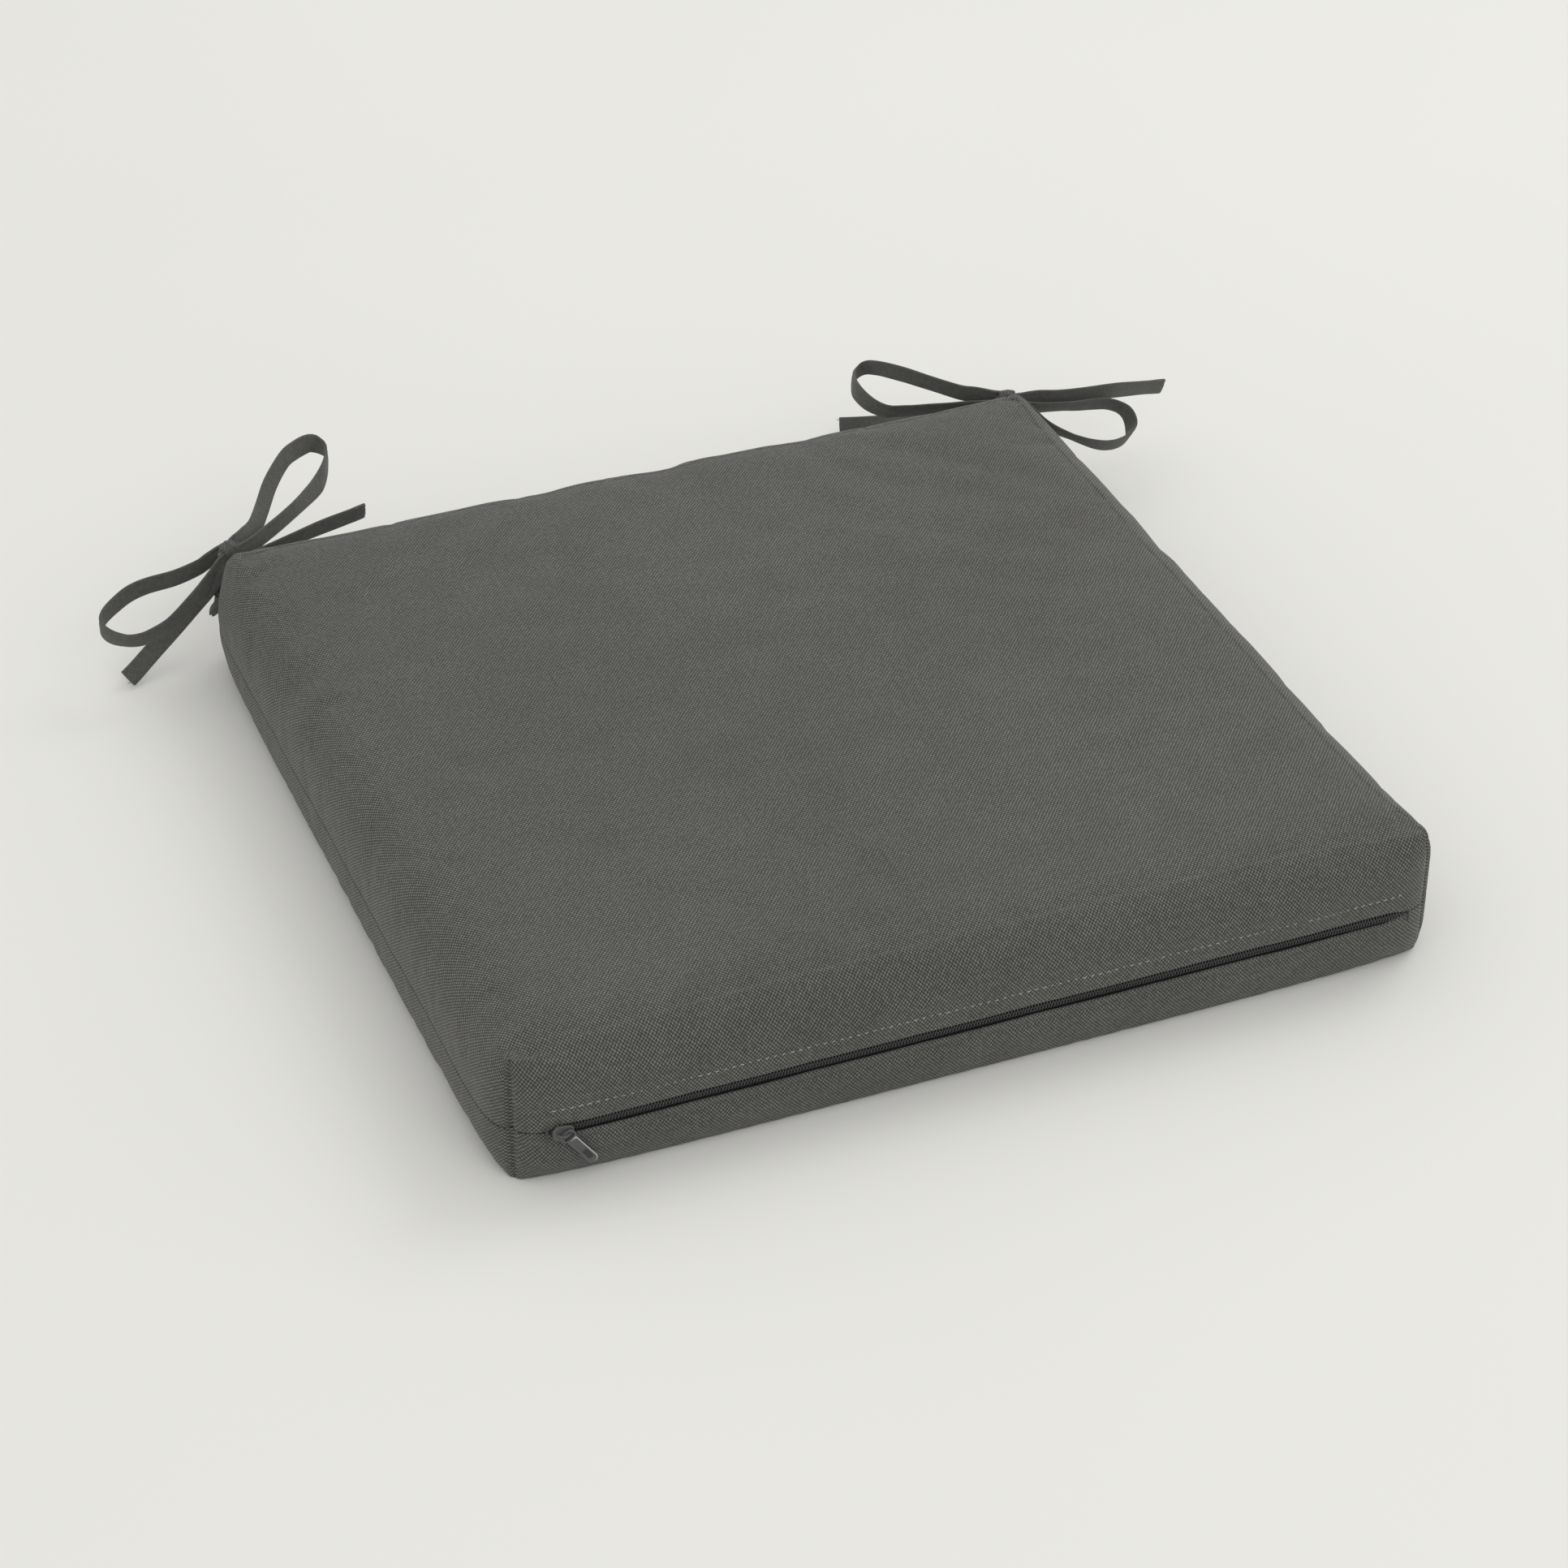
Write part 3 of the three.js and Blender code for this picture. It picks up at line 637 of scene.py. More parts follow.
    def edge_dents(self, points):
        """Small hollows where the cloth is caught along the edges of the top: each is a bell curve."""
        dents = ((15, 228, 1.5, 14), (32, 228, -0.8, 12), (-52, 226, 0.7, 10), (90, 226, 0.8, 12),
                 (-228, 96, 0.9, 13), (-228, -38, 0.8, 16), (-228, 30, -0.5, 14), (228, 60, 0.7, 15),
                 (-120, -228, 0.6, 13), (70, -228, 0.5, 16))
        depth = np.zeros(points.shape[:-1])
        for x, y, deep, wide in dents:
            near = (points[..., 0] / MM - x) ** 2 / wide**2 + (points[..., 1] / MM - y) ** 2 / 22**2
            if abs(x) > 200:
                near = (points[..., 0] / MM - x) ** 2 / 22**2 + (points[..., 1] / MM - y) ** 2 / wide**2
            depth += deep * MM * np.exp(-near)
        return depth * smooth_step(30 * MM, 55 * MM, points[..., 2])

    def puckers(self, part, side, along, points):
        """Short gathers beside the seam, as a push outwards: sines along the seam that fade away from it."""
        rng = np.random.default_rng(40 + side)
        place = along * self.half
        wave = np.zeros_like(place)
        for _ in range(9):
            size = 9 * MM + 26 * MM * rng.random()
            wave += rng.random() * np.sin(place * 2 * HALF_TURN / size + 6.28 * rng.random())
        off_seam = np.abs(points[..., 2] - SEAM_HEIGHT)
        fade = np.exp(-off_seam / (9 * MM)) * smooth_step(0, 4 * MM, off_seam)
        amount = (0.08 if side == 0 else 0.20) * MM
        gathers = amount * wave * fade
        if side == 0 and part == TOP:
            gathers = gathers + self.gathers(place, points[..., 2])
        return gathers * self.swell(along, self.c.corner_reach)

    def gathers(self, place, height):
        """Soft upright folds under the front edge of the top: narrow sines along it, in a few groups."""
        rng = np.random.default_rng(77)
        groups = 0.35 + 0.65 * np.clip(
            np.sin(place / (47 * MM) + 4.1) + 0.3 * np.sin(place / (19 * MM)), 0, 1)
        folds = np.zeros_like(place)
        for _ in range(6):
            size = 7 * MM + 8 * MM * rng.random()
            folds += np.sin(place * 2 * HALF_TURN / size + 6.28 * rng.random())
        level = np.exp(-(((height - 56 * MM) / (8 * MM)) ** 2))
        return 0.07 * MM * folds * groups * level

    def stitch_grooves(self, side, points):
        """The topstitch lines draw the cloth in: two narrow bell curves over the height."""
        if side != 0:
            return np.zeros(points.shape[:-1])
        stitch = bpy.context.scene.pad_stitch
        above = np.exp(-(((points[..., 2] - SEAM_HEIGHT - stitch.above) / (1.3 * MM)) ** 2))
        below = np.exp(-(((points[..., 2] - SEAM_HEIGHT + stitch.below) / (1.3 * MM)) ** 2))
        ends = 1 - smooth_step(self.half - 8 * MM, self.half, np.abs(points[..., 0]))
        return -(0.55 * MM * above + 0.45 * MM * below) * ends

    def dart(self, s, t, points):
        """The corner seams draw the cloth in: a narrow bell curve round each corner, along the diagonal."""
        gap = self.half * np.hypot(1 - np.abs(s), 1 - np.abs(t))
        depth = 2.4 * MM * np.exp(-((gap / (1.3 * MM)) ** 2)) + 0.8 * MM * np.exp(-((gap / (5 * MM)) ** 2))
        inwards = -np.sign(points[..., :2]) / math.sqrt(2)
        return np.concatenate([inwards * depth[..., None], np.zeros_like(depth)[..., None]], axis=-1)

    def side_grid(self, part, side, along, angle):
        """The finished outside of one side, from the seam's turned cloth up or down to the edge, and the
        place of each point on the flat cloth: its own x, and the length down the side."""
        a, q = np.meshgrid(along, angle)
        local = self.side_points(part, side, a, q)
        steps = np.linalg.norm(np.diff(local[..., 1:], axis=0), axis=-1)
        below = np.concatenate([np.cumsum(steps[::-1], axis=0)[::-1], np.zeros((1, len(along)))])
        down = local[-1, :, 1] + below
        width = local[..., 0]
        local[..., 1] += self.puckers(part, side, a, local) + self.stitch_grooves(side, local)
        points = self.placed(local, side) + self.moved(part, side, along, angle)
        points += self.slow_waves(points) + self.dart(np.ones_like(a), a, points)
        points = self.turned_in(part, side, along, points)
        turned = np.linalg.norm(np.diff(points[: -len(angle) + 1], axis=0), axis=-1).mean(axis=1)
        turned = np.cumsum(turned[::-1])[::-1][:, None] + down[0]
        down = np.concatenate([turned, down])
        width = np.concatenate([np.repeat(width[:1], len(turned), axis=0), width])
        flat = self.placed(np.stack([width, down, np.zeros_like(down)], axis=-1), side)[..., :2]
        return points, flat

    def turned_in(self, part, side, along, points):
        """Adds the cloth that turns in at the seam, ahead of a side's own rows: an arc and a flat strip."""
        roll = self.roll(side, along)
        strip = self.c.seam_depth * (1 - self.opened(side, along)) + 0.2 * MM
        inwards = self.placed(np.array([0.0, -1.0, 0.0]), side)
        sideways = self.placed(np.stack([-along, np.zeros_like(along), np.zeros_like(along)], axis=-1), side)
        rows = []
        for share in (1.0, 0.5, 0.1):
            rows.append((roll + strip * share, roll))
        for arc in np.radians([90, 68, 45, 22]):
            rows.append((roll * (1 - np.cos(arc)), roll * np.sin(arc)))
        added = [
            points[0] + deep[:, None] * (inwards + sideways) - part * down[:, None] * np.array([0, 0, 1.0])
            for deep, down in rows
        ]
        return np.concatenate([np.stack(added), points])

    def face_grid(self, part, across):
        """The finished outside of the top or the underside, and its places on the flat cloth."""
        plain = self.face_points(part, across)
        points = plain + self.moved(part, None, across, across)
        s, t = np.meshgrid(across, across, indexing="ij")
        return points + self.slow_waves(points) + self.dart(s, t, points), plain[..., :2]

    def front_place(self, x, height, lift=0.0):
        """Points on the front side at given x and heights, lifted off the cloth."""
        part = np.where(height > SEAM_HEIGHT, TOP, BOTTOM)[0]
        along = x / self.half
        power = self.power(0, along)
        edge = self.edge_height(part, 0, along)
        ridge = self.c.height if part == TOP else 0.0
        angle = np.arcsin(np.clip((height - edge) / (ridge - edge), 0, 1) ** (power / 2))
        local = self.side_points(part, 0, along, angle)
        local[..., 1] += self.puckers(part, 0, along, local) + self.stitch_grooves(0, local) + lift
        points = self.placed(local, 0) + self.moved(part, 0, along, angle, grid=False)
        return points + self.slow_waves(points)


def crowded(count, inner):
    """Places from -1 to 1, even in the middle and closer near both ends, by the sizes in inner (metres)."""
    half = bpy.context.scene.pad_cover.side / 2
    ends = 1 - np.array(inner) / half
    middle = np.linspace(-ends[-1], ends[-1], count)
    return np.concatenate([-ends[:-1], middle, ends[:-1][::-1]])


def seam_angles(part):
    """Rows of a side: close together near the seam and the stitch lines, wider above, as angles."""
    c = bpy.context.scene.pad_cover
    reach = c.height - SEAM_HEIGHT if part == TOP else SEAM_HEIGHT
    line = bpy.context.scene.pad_stitch.above if part == TOP else bpy.context.scene.pad_stitch.below
    near = np.array([0, 0.5, 1.2, 2.0, 3.0, 4.0, 5.0]) * MM
    stitched = line + np.array([-1.6, -0.9, -0.4, 0, 0.4, 0.9, 1.6]) * MM
    start = line + 3 * MM
    above = start + (reach * 0.8 - start) * np.linspace(0, 1, 7)
    shares = np.concatenate([near, stitched, above]) / reach
    angles = np.arcsin(np.clip(shares, 0, 1) ** (SIDE_POWER / 2))
    return np.concatenate([angles, np.linspace(angles[-1], QUARTER_TURN, 8)[1:]])


# ---- Cloth simulation of the cover ----

BLANK_CELLS = 90  # across the top
BLANK_ROWS = 8  # down a side


def blank_patches(form):
    """The closed cover as plain patches: a face and four sides for each panel, meeting at the seam."""
    across = np.linspace(-1, 1, BLANK_CELLS + 1)
    angle = np.linspace(0, QUARTER_TURN, BLANK_ROWS + 1)
    a, q = np.meshgrid(across, angle)
    patches = {}
    for part in (TOP, BOTTOM):
        patches[part, None] = form.face_points(part, across)
        for side in SIDES:
            patches[part, side] = form.placed(form.side_points(part, side, a, q, plain=True), side)
    return patches


def settle_cover(form):
    """Fills the closed cover with air for twenty frames and keeps how far each point moved. The corner
    seams and the seam hold still, the foam holds the rest back softly, and the move has a limit."""
    patches = blank_patches(form)
    points, faces, sizes = [], [], []
    for (part, side), patch in patches.items():
        rows, columns = patch.shape[:2]
        quads = grid_faces(rows, columns, sum(sizes))
        outward = (side is None) == (part == TOP)
        faces.append(quads[:, ::-1] if outward else quads)
        points.append(patch.reshape(-1, 3))
        sizes.append(rows * columns)
    points, faces, group = welded(np.concatenate(points), np.concatenate(faces))
    rng = np.random.default_rng(3)
    start = points + rng.normal(scale=0.00008, size=points.shape)
    blank = new_piece("pad_blank", start, faces, None)
    hold = blank.vertex_groups.new(name="hold")
    on_seam = np.abs(points[:, 2] - SEAM_HEIGHT) < 0.2 * MM
    flat = np.sort(np.abs(points[:, :2]), axis=1)
    on_dart = flat[:, 0] > flat[:, 1] - 0.05 * MM
    on_dart &= flat[:, 0] > form.half - 5 * MM
    under = points[:, 2] < 1.0 * MM
    weights = np.where(on_seam | on_dart, 1.0, np.where(under, 0.6, 0.1))
    for value in np.unique(weights):
        hold.add(np.flatnonzero(weights == value).tolist(), float(value), "REPLACE")
    cloth = blank.modifiers.new("Cloth", "CLOTH")
    settings = cloth.settings
    settings.quality = 6
    settings.mass = 0.15
    settings.tension_stiffness = settings.compression_stiffness = 18
    settings.shear_stiffness = 6
    settings.bending_stiffness = 0.6
    settings.use_pressure = True
    settings.uniform_pressure_force = 4
    settings.vertex_group_mass = "hold"
    settings.pin_stiffness = 1.0
    settings.shrink_min = -0.003
    settings.effector_weights.gravity = 0
    cloth.collision_settings.use_collision = False
    scene = bpy.context.scene
    scene.frame_start, scene.frame_end = 1, 20
    for number in range(1, 21):
        scene.frame_set(number)
    settled = blank.evaluated_get(bpy.context.evaluated_depsgraph_get()).to_mesh()
    ended = np.zeros(len(points) * 3, np.float32)
    settled.vertices.foreach_get("co", ended)
    moves = ended.reshape(-1, 3).astype(float) - start
    scene.frame_set(1)
    bpy.data.meshes.remove(blank.data)
    reach = np.linalg.norm(moves, axis=1, keepdims=True)
    limit = form.c.swell_limit
    moves *= limit * np.tanh(reach / limit) / np.maximum(reach, 1e-9)
    first = 0
    for key, patch in patches.items():
        rows, columns = patch.shape[:2]
        form.moves[key] = moves[group[first : first + rows * columns]].reshape(rows, columns, 3)
        first += rows * columns
    form.moves[BOTTOM, None][..., 2] = np.maximum(form.moves[BOTTOM, None][..., 2], 0.0)


_forms = {}


def cover_form():
    """The cover's form, simulated once and shared by every piece that lies on the cover."""
    if "cover" not in _forms:
        form = Form(bpy.context.scene.pad_cover)
        settle_cover(form)
        _forms["cover"] = form
    return _forms["cover"]


def panel_shell(form, part):
    """Points, faces and flat cloth places of one panel's outside, from its face and four sides."""
    across = crowded(141, [0, 0.35 * MM, 0.8 * MM, 1.4 * MM, 2.2 * MM, 3.4 * MM, 5 * MM])
    angle = seam_angles(part)
    patches = [(*form.face_grid(part, across), part == TOP)]
    patches += [(*form.side_grid(part, side, across, angle), part == BOTTOM) for side in SIDES]
    points, faces, uv, first = [], [], [], 0
    for patch, flat, flipped in patches:
        quads = grid_faces(*patch.shape[:2])
        quads = quads[:, ::-1] if flipped else quads
        uv.append(flat.reshape(-1, 2)[quads])
        faces.append(quads + first)
        points.append(patch.reshape(-1, 3))
        first += patch.shape[0] * patch.shape[1]
    points, faces, _ = welded(np.concatenate(points), np.concatenate(faces), 2e-6)
    return points, faces, np.concatenate(uv)


class PAD_OT_cover(Operator):
    """Sew the cover's two panels, settled by a cloth simulation"""

    bl_idname = "pad.cover"
    bl_label = "Cover"

    def execute(self, context):
        form = cover_form()
        # The bottom panel's cloth is made 3% darker than the top panel's, as painted shade on the lower
        # panel.
        for part, name, tone in ((TOP, "cover_top_panel", 1.0), (BOTTOM, "cover_bottom_panel", 0.97)):
            points, faces, uv = panel_shell(form, part)
            if part == BOTTOM:
                points[:, 2] = np.maximum(points[:, 2], 0.0)
            panel = new_piece("sewn_" + name, points, faces, cloth_material("woven_" + name, tone), uv)
            wall = panel.modifiers.new("Cloth thickness", "SOLIDIFY")
            wall.thickness = form.c.cloth
            wall.offset = -1
            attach(panel, "cushion")
            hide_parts(name)
        return {"FINISHED"}


# ---- Stage ----


class PAD_OT_stage(Operator):
    """Set the camera, the pale floor and the soft lights"""

    bl_idname = "pad.stage"
    bl_label = "Stage"

    def execute(self, context):
        stage = context.scene.pad_stage
        scene = context.scene
        scene.view_settings.view_transform = "Standard"
        turn, tilt = math.radians(stage.azimuth), math.radians(stage.elevation)
        ahead = Vector((math.sin(turn) * math.cos(tilt), math.cos(turn) * math.cos(tilt), -math.sin(tilt)))
        camera = bpy.data.objects.new("camera", bpy.data.cameras.new("camera"))
        scene.collection.objects.link(camera)
        camera.location = (-0.6445, -1.5728, 1.1947)
        camera.rotation_mode = "QUATERNION"
        camera.rotation_quaternion = ahead.to_track_quat("-Z", "Y")
        camera.data.lens = stage.lens
        camera.data.sensor_width = 36.0
        camera.data.clip_start, camera.data.clip_end = 0.05, 50.0
        scene.camera = camera
        self.floor(stage)
        self.lights(scene)
        return {"FINISHED"}

    def floor(self, stage):
        """A wide flat floor, a hair under the pad."""
        reach, drop = 6.0, -0.0003
        corners = np.array([
            [-reach, -reach, drop], [reach, -reach, drop],
            [reach, reach, drop], [-reach, reach, drop]])
        material, principled = shader("pale_floor", roughness=0.85)
        n = Nodes(material.node_tree)
        place = n.add("ShaderNodeTexCoord").outputs["Object"]
        pale = tuple(stage.floor)
        tone = n.ramp(n.noise(place, 1.5, 2.0), 0.3, 0.7)
        n.put(principled.inputs["Base Color"], n.mix(tone, tuple(0.985 * c for c in pale), pale))
        floor = new_piece("floor", corners, np.array([[0, 1, 2, 3]]), material)

    def lights(self, scene):
        """An even pale sky, a large soft light behind on the right, and a weak one in front."""
        world = bpy.data.worlds.new("studio")
        world.use_nodes = True
        world.node_tree.nodes["Background"].inputs["Color"].default_value = (1.0, 0.995, 0.975, 1.0)
        world.node_tree.nodes["Background"].inputs["Strength"].default_value = 0.81
        scene.world = world
        for name, place, size, power in (
            ("key", (2.6, 1.2, 3.0), 2.0, 27.0),
            ("fill", (0.3, -3.2, 2.6), 2.4, 18.0),
        ):
            light = bpy.data.objects.new(name, bpy.data.lights.new(name, "AREA"))
            scene.collection.objects.link(light)
            light.location = place
            light.rotation_mode = "QUATERNION"
            light.rotation_quaternion = (Vector((0, 0, 0.03)) - Vector(place)).to_track_quat("-Z", "Y")
            light.data.size = size
            light.data.energy = power


# ---- Ties ----

# Places on the straps in millimetres, from the pad's corner in plan and from the underside.
LEFT_STEM = [[-3.6, 3.6, 29], [-2.5, 9, 31], [3, 13.5, 36], [6, 15, 43], [7, 17, 50]]
LEFT_LOOP_UPPER = [
    [11, 17.5, 58], [18.8, 23, 57.5], [26.7, 32, 55.5], [36.3, 50, 55.3], [47, 68, 58.5],
    [59.4, 84, 61.8], [67.6, 92, 61.5], [76.5, 97, 61.2], [81.4, 97, 59.3], [84.3, 92, 58.2],
    [83.3, 86, 55.4], [79.1, 76, 53.9], [72.1, 66, 52.4], [60.9, 54, 52.8], [48.7, 42, 53.6],
    [36, 30, 54.5], [22.3, 18, 55.5], [11, 12.5, 56],
]
LEFT_TAIL_LEFT = [
    [7, 13, 55], [3.2, 10, 50], [-4.9, 8, 41.4], [-18.6, 6, 29.8], [-36.4, 1, 16.8],
    [-49.5, -4, 8.3], [-55.7, -7, 5.4],
]
LEFT_LOOP_LEFT = [
    [7, 18.5, 54], [0, 20, 48.5], [-6, 19.5, 45], [-19.6, 17, 43.1], [-35.5, 14, 44.1],
    [-45.9, 10, 44.3], [-55.1, 4, 43], [-62.4, -3, 41.8], [-64.9, -9, 40.5], [-62.7, -14, 38.7],
    [-57, -17, 37], [-51.3, -17, 35.6], [-45.5, -15, 34.7], [-34.1, -9, 34.6], [-21.7, -2, 39.1],
    [-8.9, 7, 44.1], [0, 12.5, 49.7], [7, 14, 55],
]
LEFT_TAIL_RIGHT = [
    [11, 16, 51], [21.1, 19, 49.5], [36.4, 25, 48.5], [51.9, 31, 47.5], [67.9, 38, 46.4],
    [81.7, 43, 45.9], [90.1, 46, 45.7],
]
RIGHT_STEM = [[3.4, 3.4, 29], [8, 8, 30], [6, 14, 35], [0, 17, 41], [-3, 17, 49]]
RIGHT_LOOP_LEFT = [
    [-3, 17, 52], [-10.6, 19, 53], [-18.2, 22, 54.2], [-24.8, 27.5, 53.8], [-37, 42, 54.5],
    [-46.8, 57, 54.4], [-55.2, 72, 52.1], [-60.3, 79, 49.3], [-66, 78, 47.1], [-70.8, 70, 47.6],
    [-74.1, 58, 48.3], [-72.1, 46, 46.7], [-65.2, 38, 44.6], [-55.6, 33, 45.4], [-43, 28, 46.5],
    [-29, 22, 47.5], [-13.5, 15.5, 48.8], [-3, 13, 50.5],
]
RIGHT_TAIL_RIGHT = [
    [0, 17, 50], [8, 17, 48.2], [17.6, 15.5, 47.5], [31.7, 13, 46], [59.5, 14, 43.5],
    [79.9, 18, 38.5], [99.2, 23, 33.5],
]
RIGHT_LOOP_RIGHT = [
    [0, 13.5, 48.5], [7.8, 10, 44.8], [17.9, 7, 43], [35.1, 6, 40.9], [48.7, 6, 39.9],
    [58.1, 5, 38.4], [64.2, 0, 35.7], [64.5, -6, 31.8], [59.4, -12, 29.8], [52.1, -16, 29.9],
    [43.3, -18, 31.6], [34.2, -17, 34.9], [25.2, -12, 38.5], [15.9, -6, 42.6], [10, 1, 46.5],
    [5, 8, 50.5], [0, 12.5, 53],
]
RIGHT_TAIL_LEFT = [
    [-3, 17, 49], [-12, 21, 44.5], [-23.6, 28, 38.8], [-32.9, 40, 32], [-40.7, 56, 23.7],
    [-47.1, 72, 14.9], [-55.5, 84, 9.1], [-68.1, 94, 5.5],
]
UPRIGHT = (0.0, 0.0, 1.0)


def strap_frame(line, shares, leans):
    """Directions along, across and through a strap. leans are (share of the route, direction) pairs that
    the strap's width follows."""
    along = unit(np.gradient(line, axis=0))
    at = [lean[0] for lean in leans]
    wanted = np.stack(
        [np.interp(shares, at, [lean[1][axis] for lean in leans]) for axis in range(3)],
        axis=-1)
    across = unit(wanted - (wanted * along).sum(axis=1, keepdims=True) * along)
    return along, across, np.cross(along, across)


def strap_profile(half_width, half_depth, sides=9):
    """Section of a folded strap: flat faces, round edges, and a dent along the stitched edge."""
    place = -np.cos(np.linspace(0, HALF_TURN, sides + 2))
    depth = (1 - np.abs(place) ** 5) ** 0.5 * (1 - 0.45 * np.exp(-(((place - 0.62) / 0.1) ** 2)))
    upper = np.stack([place, depth], axis=-1)
    lower = np.stack([place[::-1], -depth[::-1]], axis=-1)[1:-1]
    outline = np.concatenate([upper, lower])
    return outline[None] * np.stack([half_width, half_depth], axis=-1)[:, None]


def loose_thread(start, heading, reach, rng):
    """A wisp of thread at a cut end: a thin tube along a bent line."""
    turn = rng.normal(size=3)
    bend = unit(turn - (turn @ heading) * heading)
    share = np.linspace(0, 1, 7)[:, None]
    line = start + reach * (share * heading + 0.45 * share**2 * bend)
    ahead = unit(np.gradient(line, axis=0))
    side = unit(np.cross(ahead, bend))
    angle = np.linspace(0, 2 * HALF_TURN, 6)[:-1]
    ring = 0.16 * MM * np.stack([np.cos(angle), np.sin(angle)], axis=-1)
    return swept(line, np.repeat(ring[None], len(line), axis=0), side, np.cross(ahead, side))


def strap(name, corner, knot, route, leans, material, seed, offset=0.0):
    """One strap from its corner seam through the knot, round its loop, through the knot again and out to
    its tail: a flat section carried along the route, gathered where the knot holds it."""
    sizes = bpy.context.scene.pad_ties
    rng = np.random.default_rng(seed)
    points = (np.array(route, float) * MM) + np.array([*corner, 0.0])
    line, run, shares = even_line(points, 1.6 * MM)
    along, across, through = strap_frame(line, shares, leans)
    wobble = sum(rng.normal() * np.sin(run / (size * MM) + 6 * rng.random()) for size in (9, 15, 24))
    line = line + through * (offset + 0.25 * MM * wobble)[:, None]
    twist = 0.07 * sum(rng.normal() * np.sin(run / (size * MM) + 6 * rng.random()) for size in (12, 21))
    across, through = (
        across * np.cos(twist)[:, None] + through * np.sin(twist)[:, None],
        through * np.cos(twist)[:, None] - across * np.sin(twist)[:, None],
    )
    held = np.exp(-((np.linalg.norm(line - knot, axis=1) / (11 * MM)) ** 2))
    hem = smooth_step(run[-1] - sizes.hem - 0.6 * MM, run[-1] - sizes.hem + 0.6 * MM, run)
    half_width = sizes.width / 2 * (1 - 0.42 * held) * (1 + 0.02 * np.sin(run / (7 * MM)))
    half_depth = sizes.thickness / 2 * (1 + 0.7 * held + 0.45 * hem)
    profile = strap_profile(half_width, half_depth)
    shells = [swept(line, profile, across, through)]
    tip = line[-1]
    for _ in range(2):
        start = tip + across[-1] * (rng.random() - 0.5) * 0.8 * sizes.width - along[-1] * 0.5 * MM
        heading = unit(along[-1] + 0.5 * rng.normal(size=3))
        shells.append(loose_thread(start, heading, (1.2 + 2 * rng.random()) * MM, rng))
    points, faces, caps = joined(shells)
    points[:, 2] = np.maximum(points[:, 2], 0.2 * MM)
    girth = np.concatenate([[0], np.cumsum(np.linalg.norm(np.diff(profile[0], axis=0), axis=1))])
    flat = np.stack(np.meshgrid(run, girth, indexing="ij"), axis=-1).reshape(-1, 2)
    flat = np.concatenate([flat, np.zeros((len(points) - len(flat), 2))])
    made = new_piece(name, points, faces, material, flat[faces], caps)
    return made, line, float(run[-1])


def knot_wrap(centre, axis, up, radii, width, depth, seed):
    """One turn of strap round the knot: a flat section carried round an ellipse, with soft creases."""
    rng = np.random.default_rng(seed)
    angle = np.linspace(0, 2 * HALF_TURN, 49)[:-1]
    side = np.cross(axis, up)
    ripple = 1 + 0.05 * np.sin(3 * angle + 6 * rng.random()) + 0.035 * np.sin(5 * angle + 6 * rng.random())
    lean = 0.9 * MM * np.sin(angle + 6 * rng.random())
    line = (
        centre + radii[0] * (np.cos(angle) * ripple)[:, None] * side
        + radii[1] * (np.sin(angle) * ripple)[:, None] * up)
    line = line + lean[:, None] * axis
    ahead = unit(np.roll(line, -1, axis=0) - np.roll(line, 1, axis=0))
    outward = unit(np.cross(ahead, axis))
    place = -np.cos(np.linspace(0, HALF_TURN, 15))
    creases = 1 + 0.16 * np.cos(7.5 * place[None] + 1.5 * np.sin(2 * angle)[:, None])
    half = (1 - np.abs(place) ** 3) ** 0.6 * depth / 2 * creases
    wide = width / 2 * (1 + 0.08 * np.sin(2 * angle + 6 * rng.random()))
    upper = np.stack([np.broadcast_to(place, half.shape) * wide[:, None], half], axis=-1)
    lower = np.stack([np.broadcast_to(place, half.shape) * wide[:, None], -half], axis=-1)[:, ::-1][:, 1:-1]
    profile = np.concatenate([upper, lower], axis=1)
    points, faces, caps = swept(line, profile, np.broadcast_to(axis, line.shape), outward, closed=True)
    return points, faces, caps


def knot_heart(centre, axis, up, radii):
    """The gathered straps inside the knot's turns: a lumpy egg, closed at both poles."""
    polar = np.linspace(0, HALF_TURN, 22)[1:-1]
    turn = np.linspace(0, 2 * HALF_TURN, 29)[:-1]
    p, t = np.meshgrid(polar, turn, indexing="ij")
    lumps = 1 + 0.07 * np.cos(4 * t + 1.2 * p) + 0.04 * np.cos(9 * t)
    side = np.cross(axis, up)
    points = centre + (radii[0] * np.cos(p))[..., None] * axis
    points = points + (radii[1] * np.sin(p) * np.cos(t) * lumps)[..., None] * side
    points = points + (radii[2] * np.sin(p) * np.sin(t) * lumps)[..., None] * up
    columns = len(turn)
    faces = grid_faces(len(polar), columns, wrap=True)
    last = (len(polar) - 1) * columns
    return points.reshape(-1, 3), faces, (np.arange(columns)[::-1], last + np.arange(columns))


def knot(name, centre, axis, material, seed):
    """A knot: two turns of strap, crossing, round the gathered straps."""
    axis = unit(np.array(axis, float))
    up = unit(np.array([0, 0, 1.0]) - axis[2] * axis)
    tilted = unit(axis * math.cos(0.55) + up * math.sin(0.55))
    tilted_up = unit(up * math.cos(0.55) - axis * math.sin(0.55))
    shells = [
        knot_heart(centre, axis, up, (7.5 * MM, 3.8 * MM, 4.3 * MM)),
        knot_wrap(centre, axis, up, (3.9 * MM, 4.7 * MM), 8.5 * MM, 2.2 * MM, seed),
        knot_wrap(
            centre - 0.3 * MM * axis, tilted, tilted_up,
            (3.6 * MM, 4.4 * MM), 6.5 * MM, 2.1 * MM, seed + 1),
    ]
    points, faces, caps = joined(shells)
    flat = points[:, [0, 2]][faces]
    return new_piece(name, points, faces, material, flat, caps)


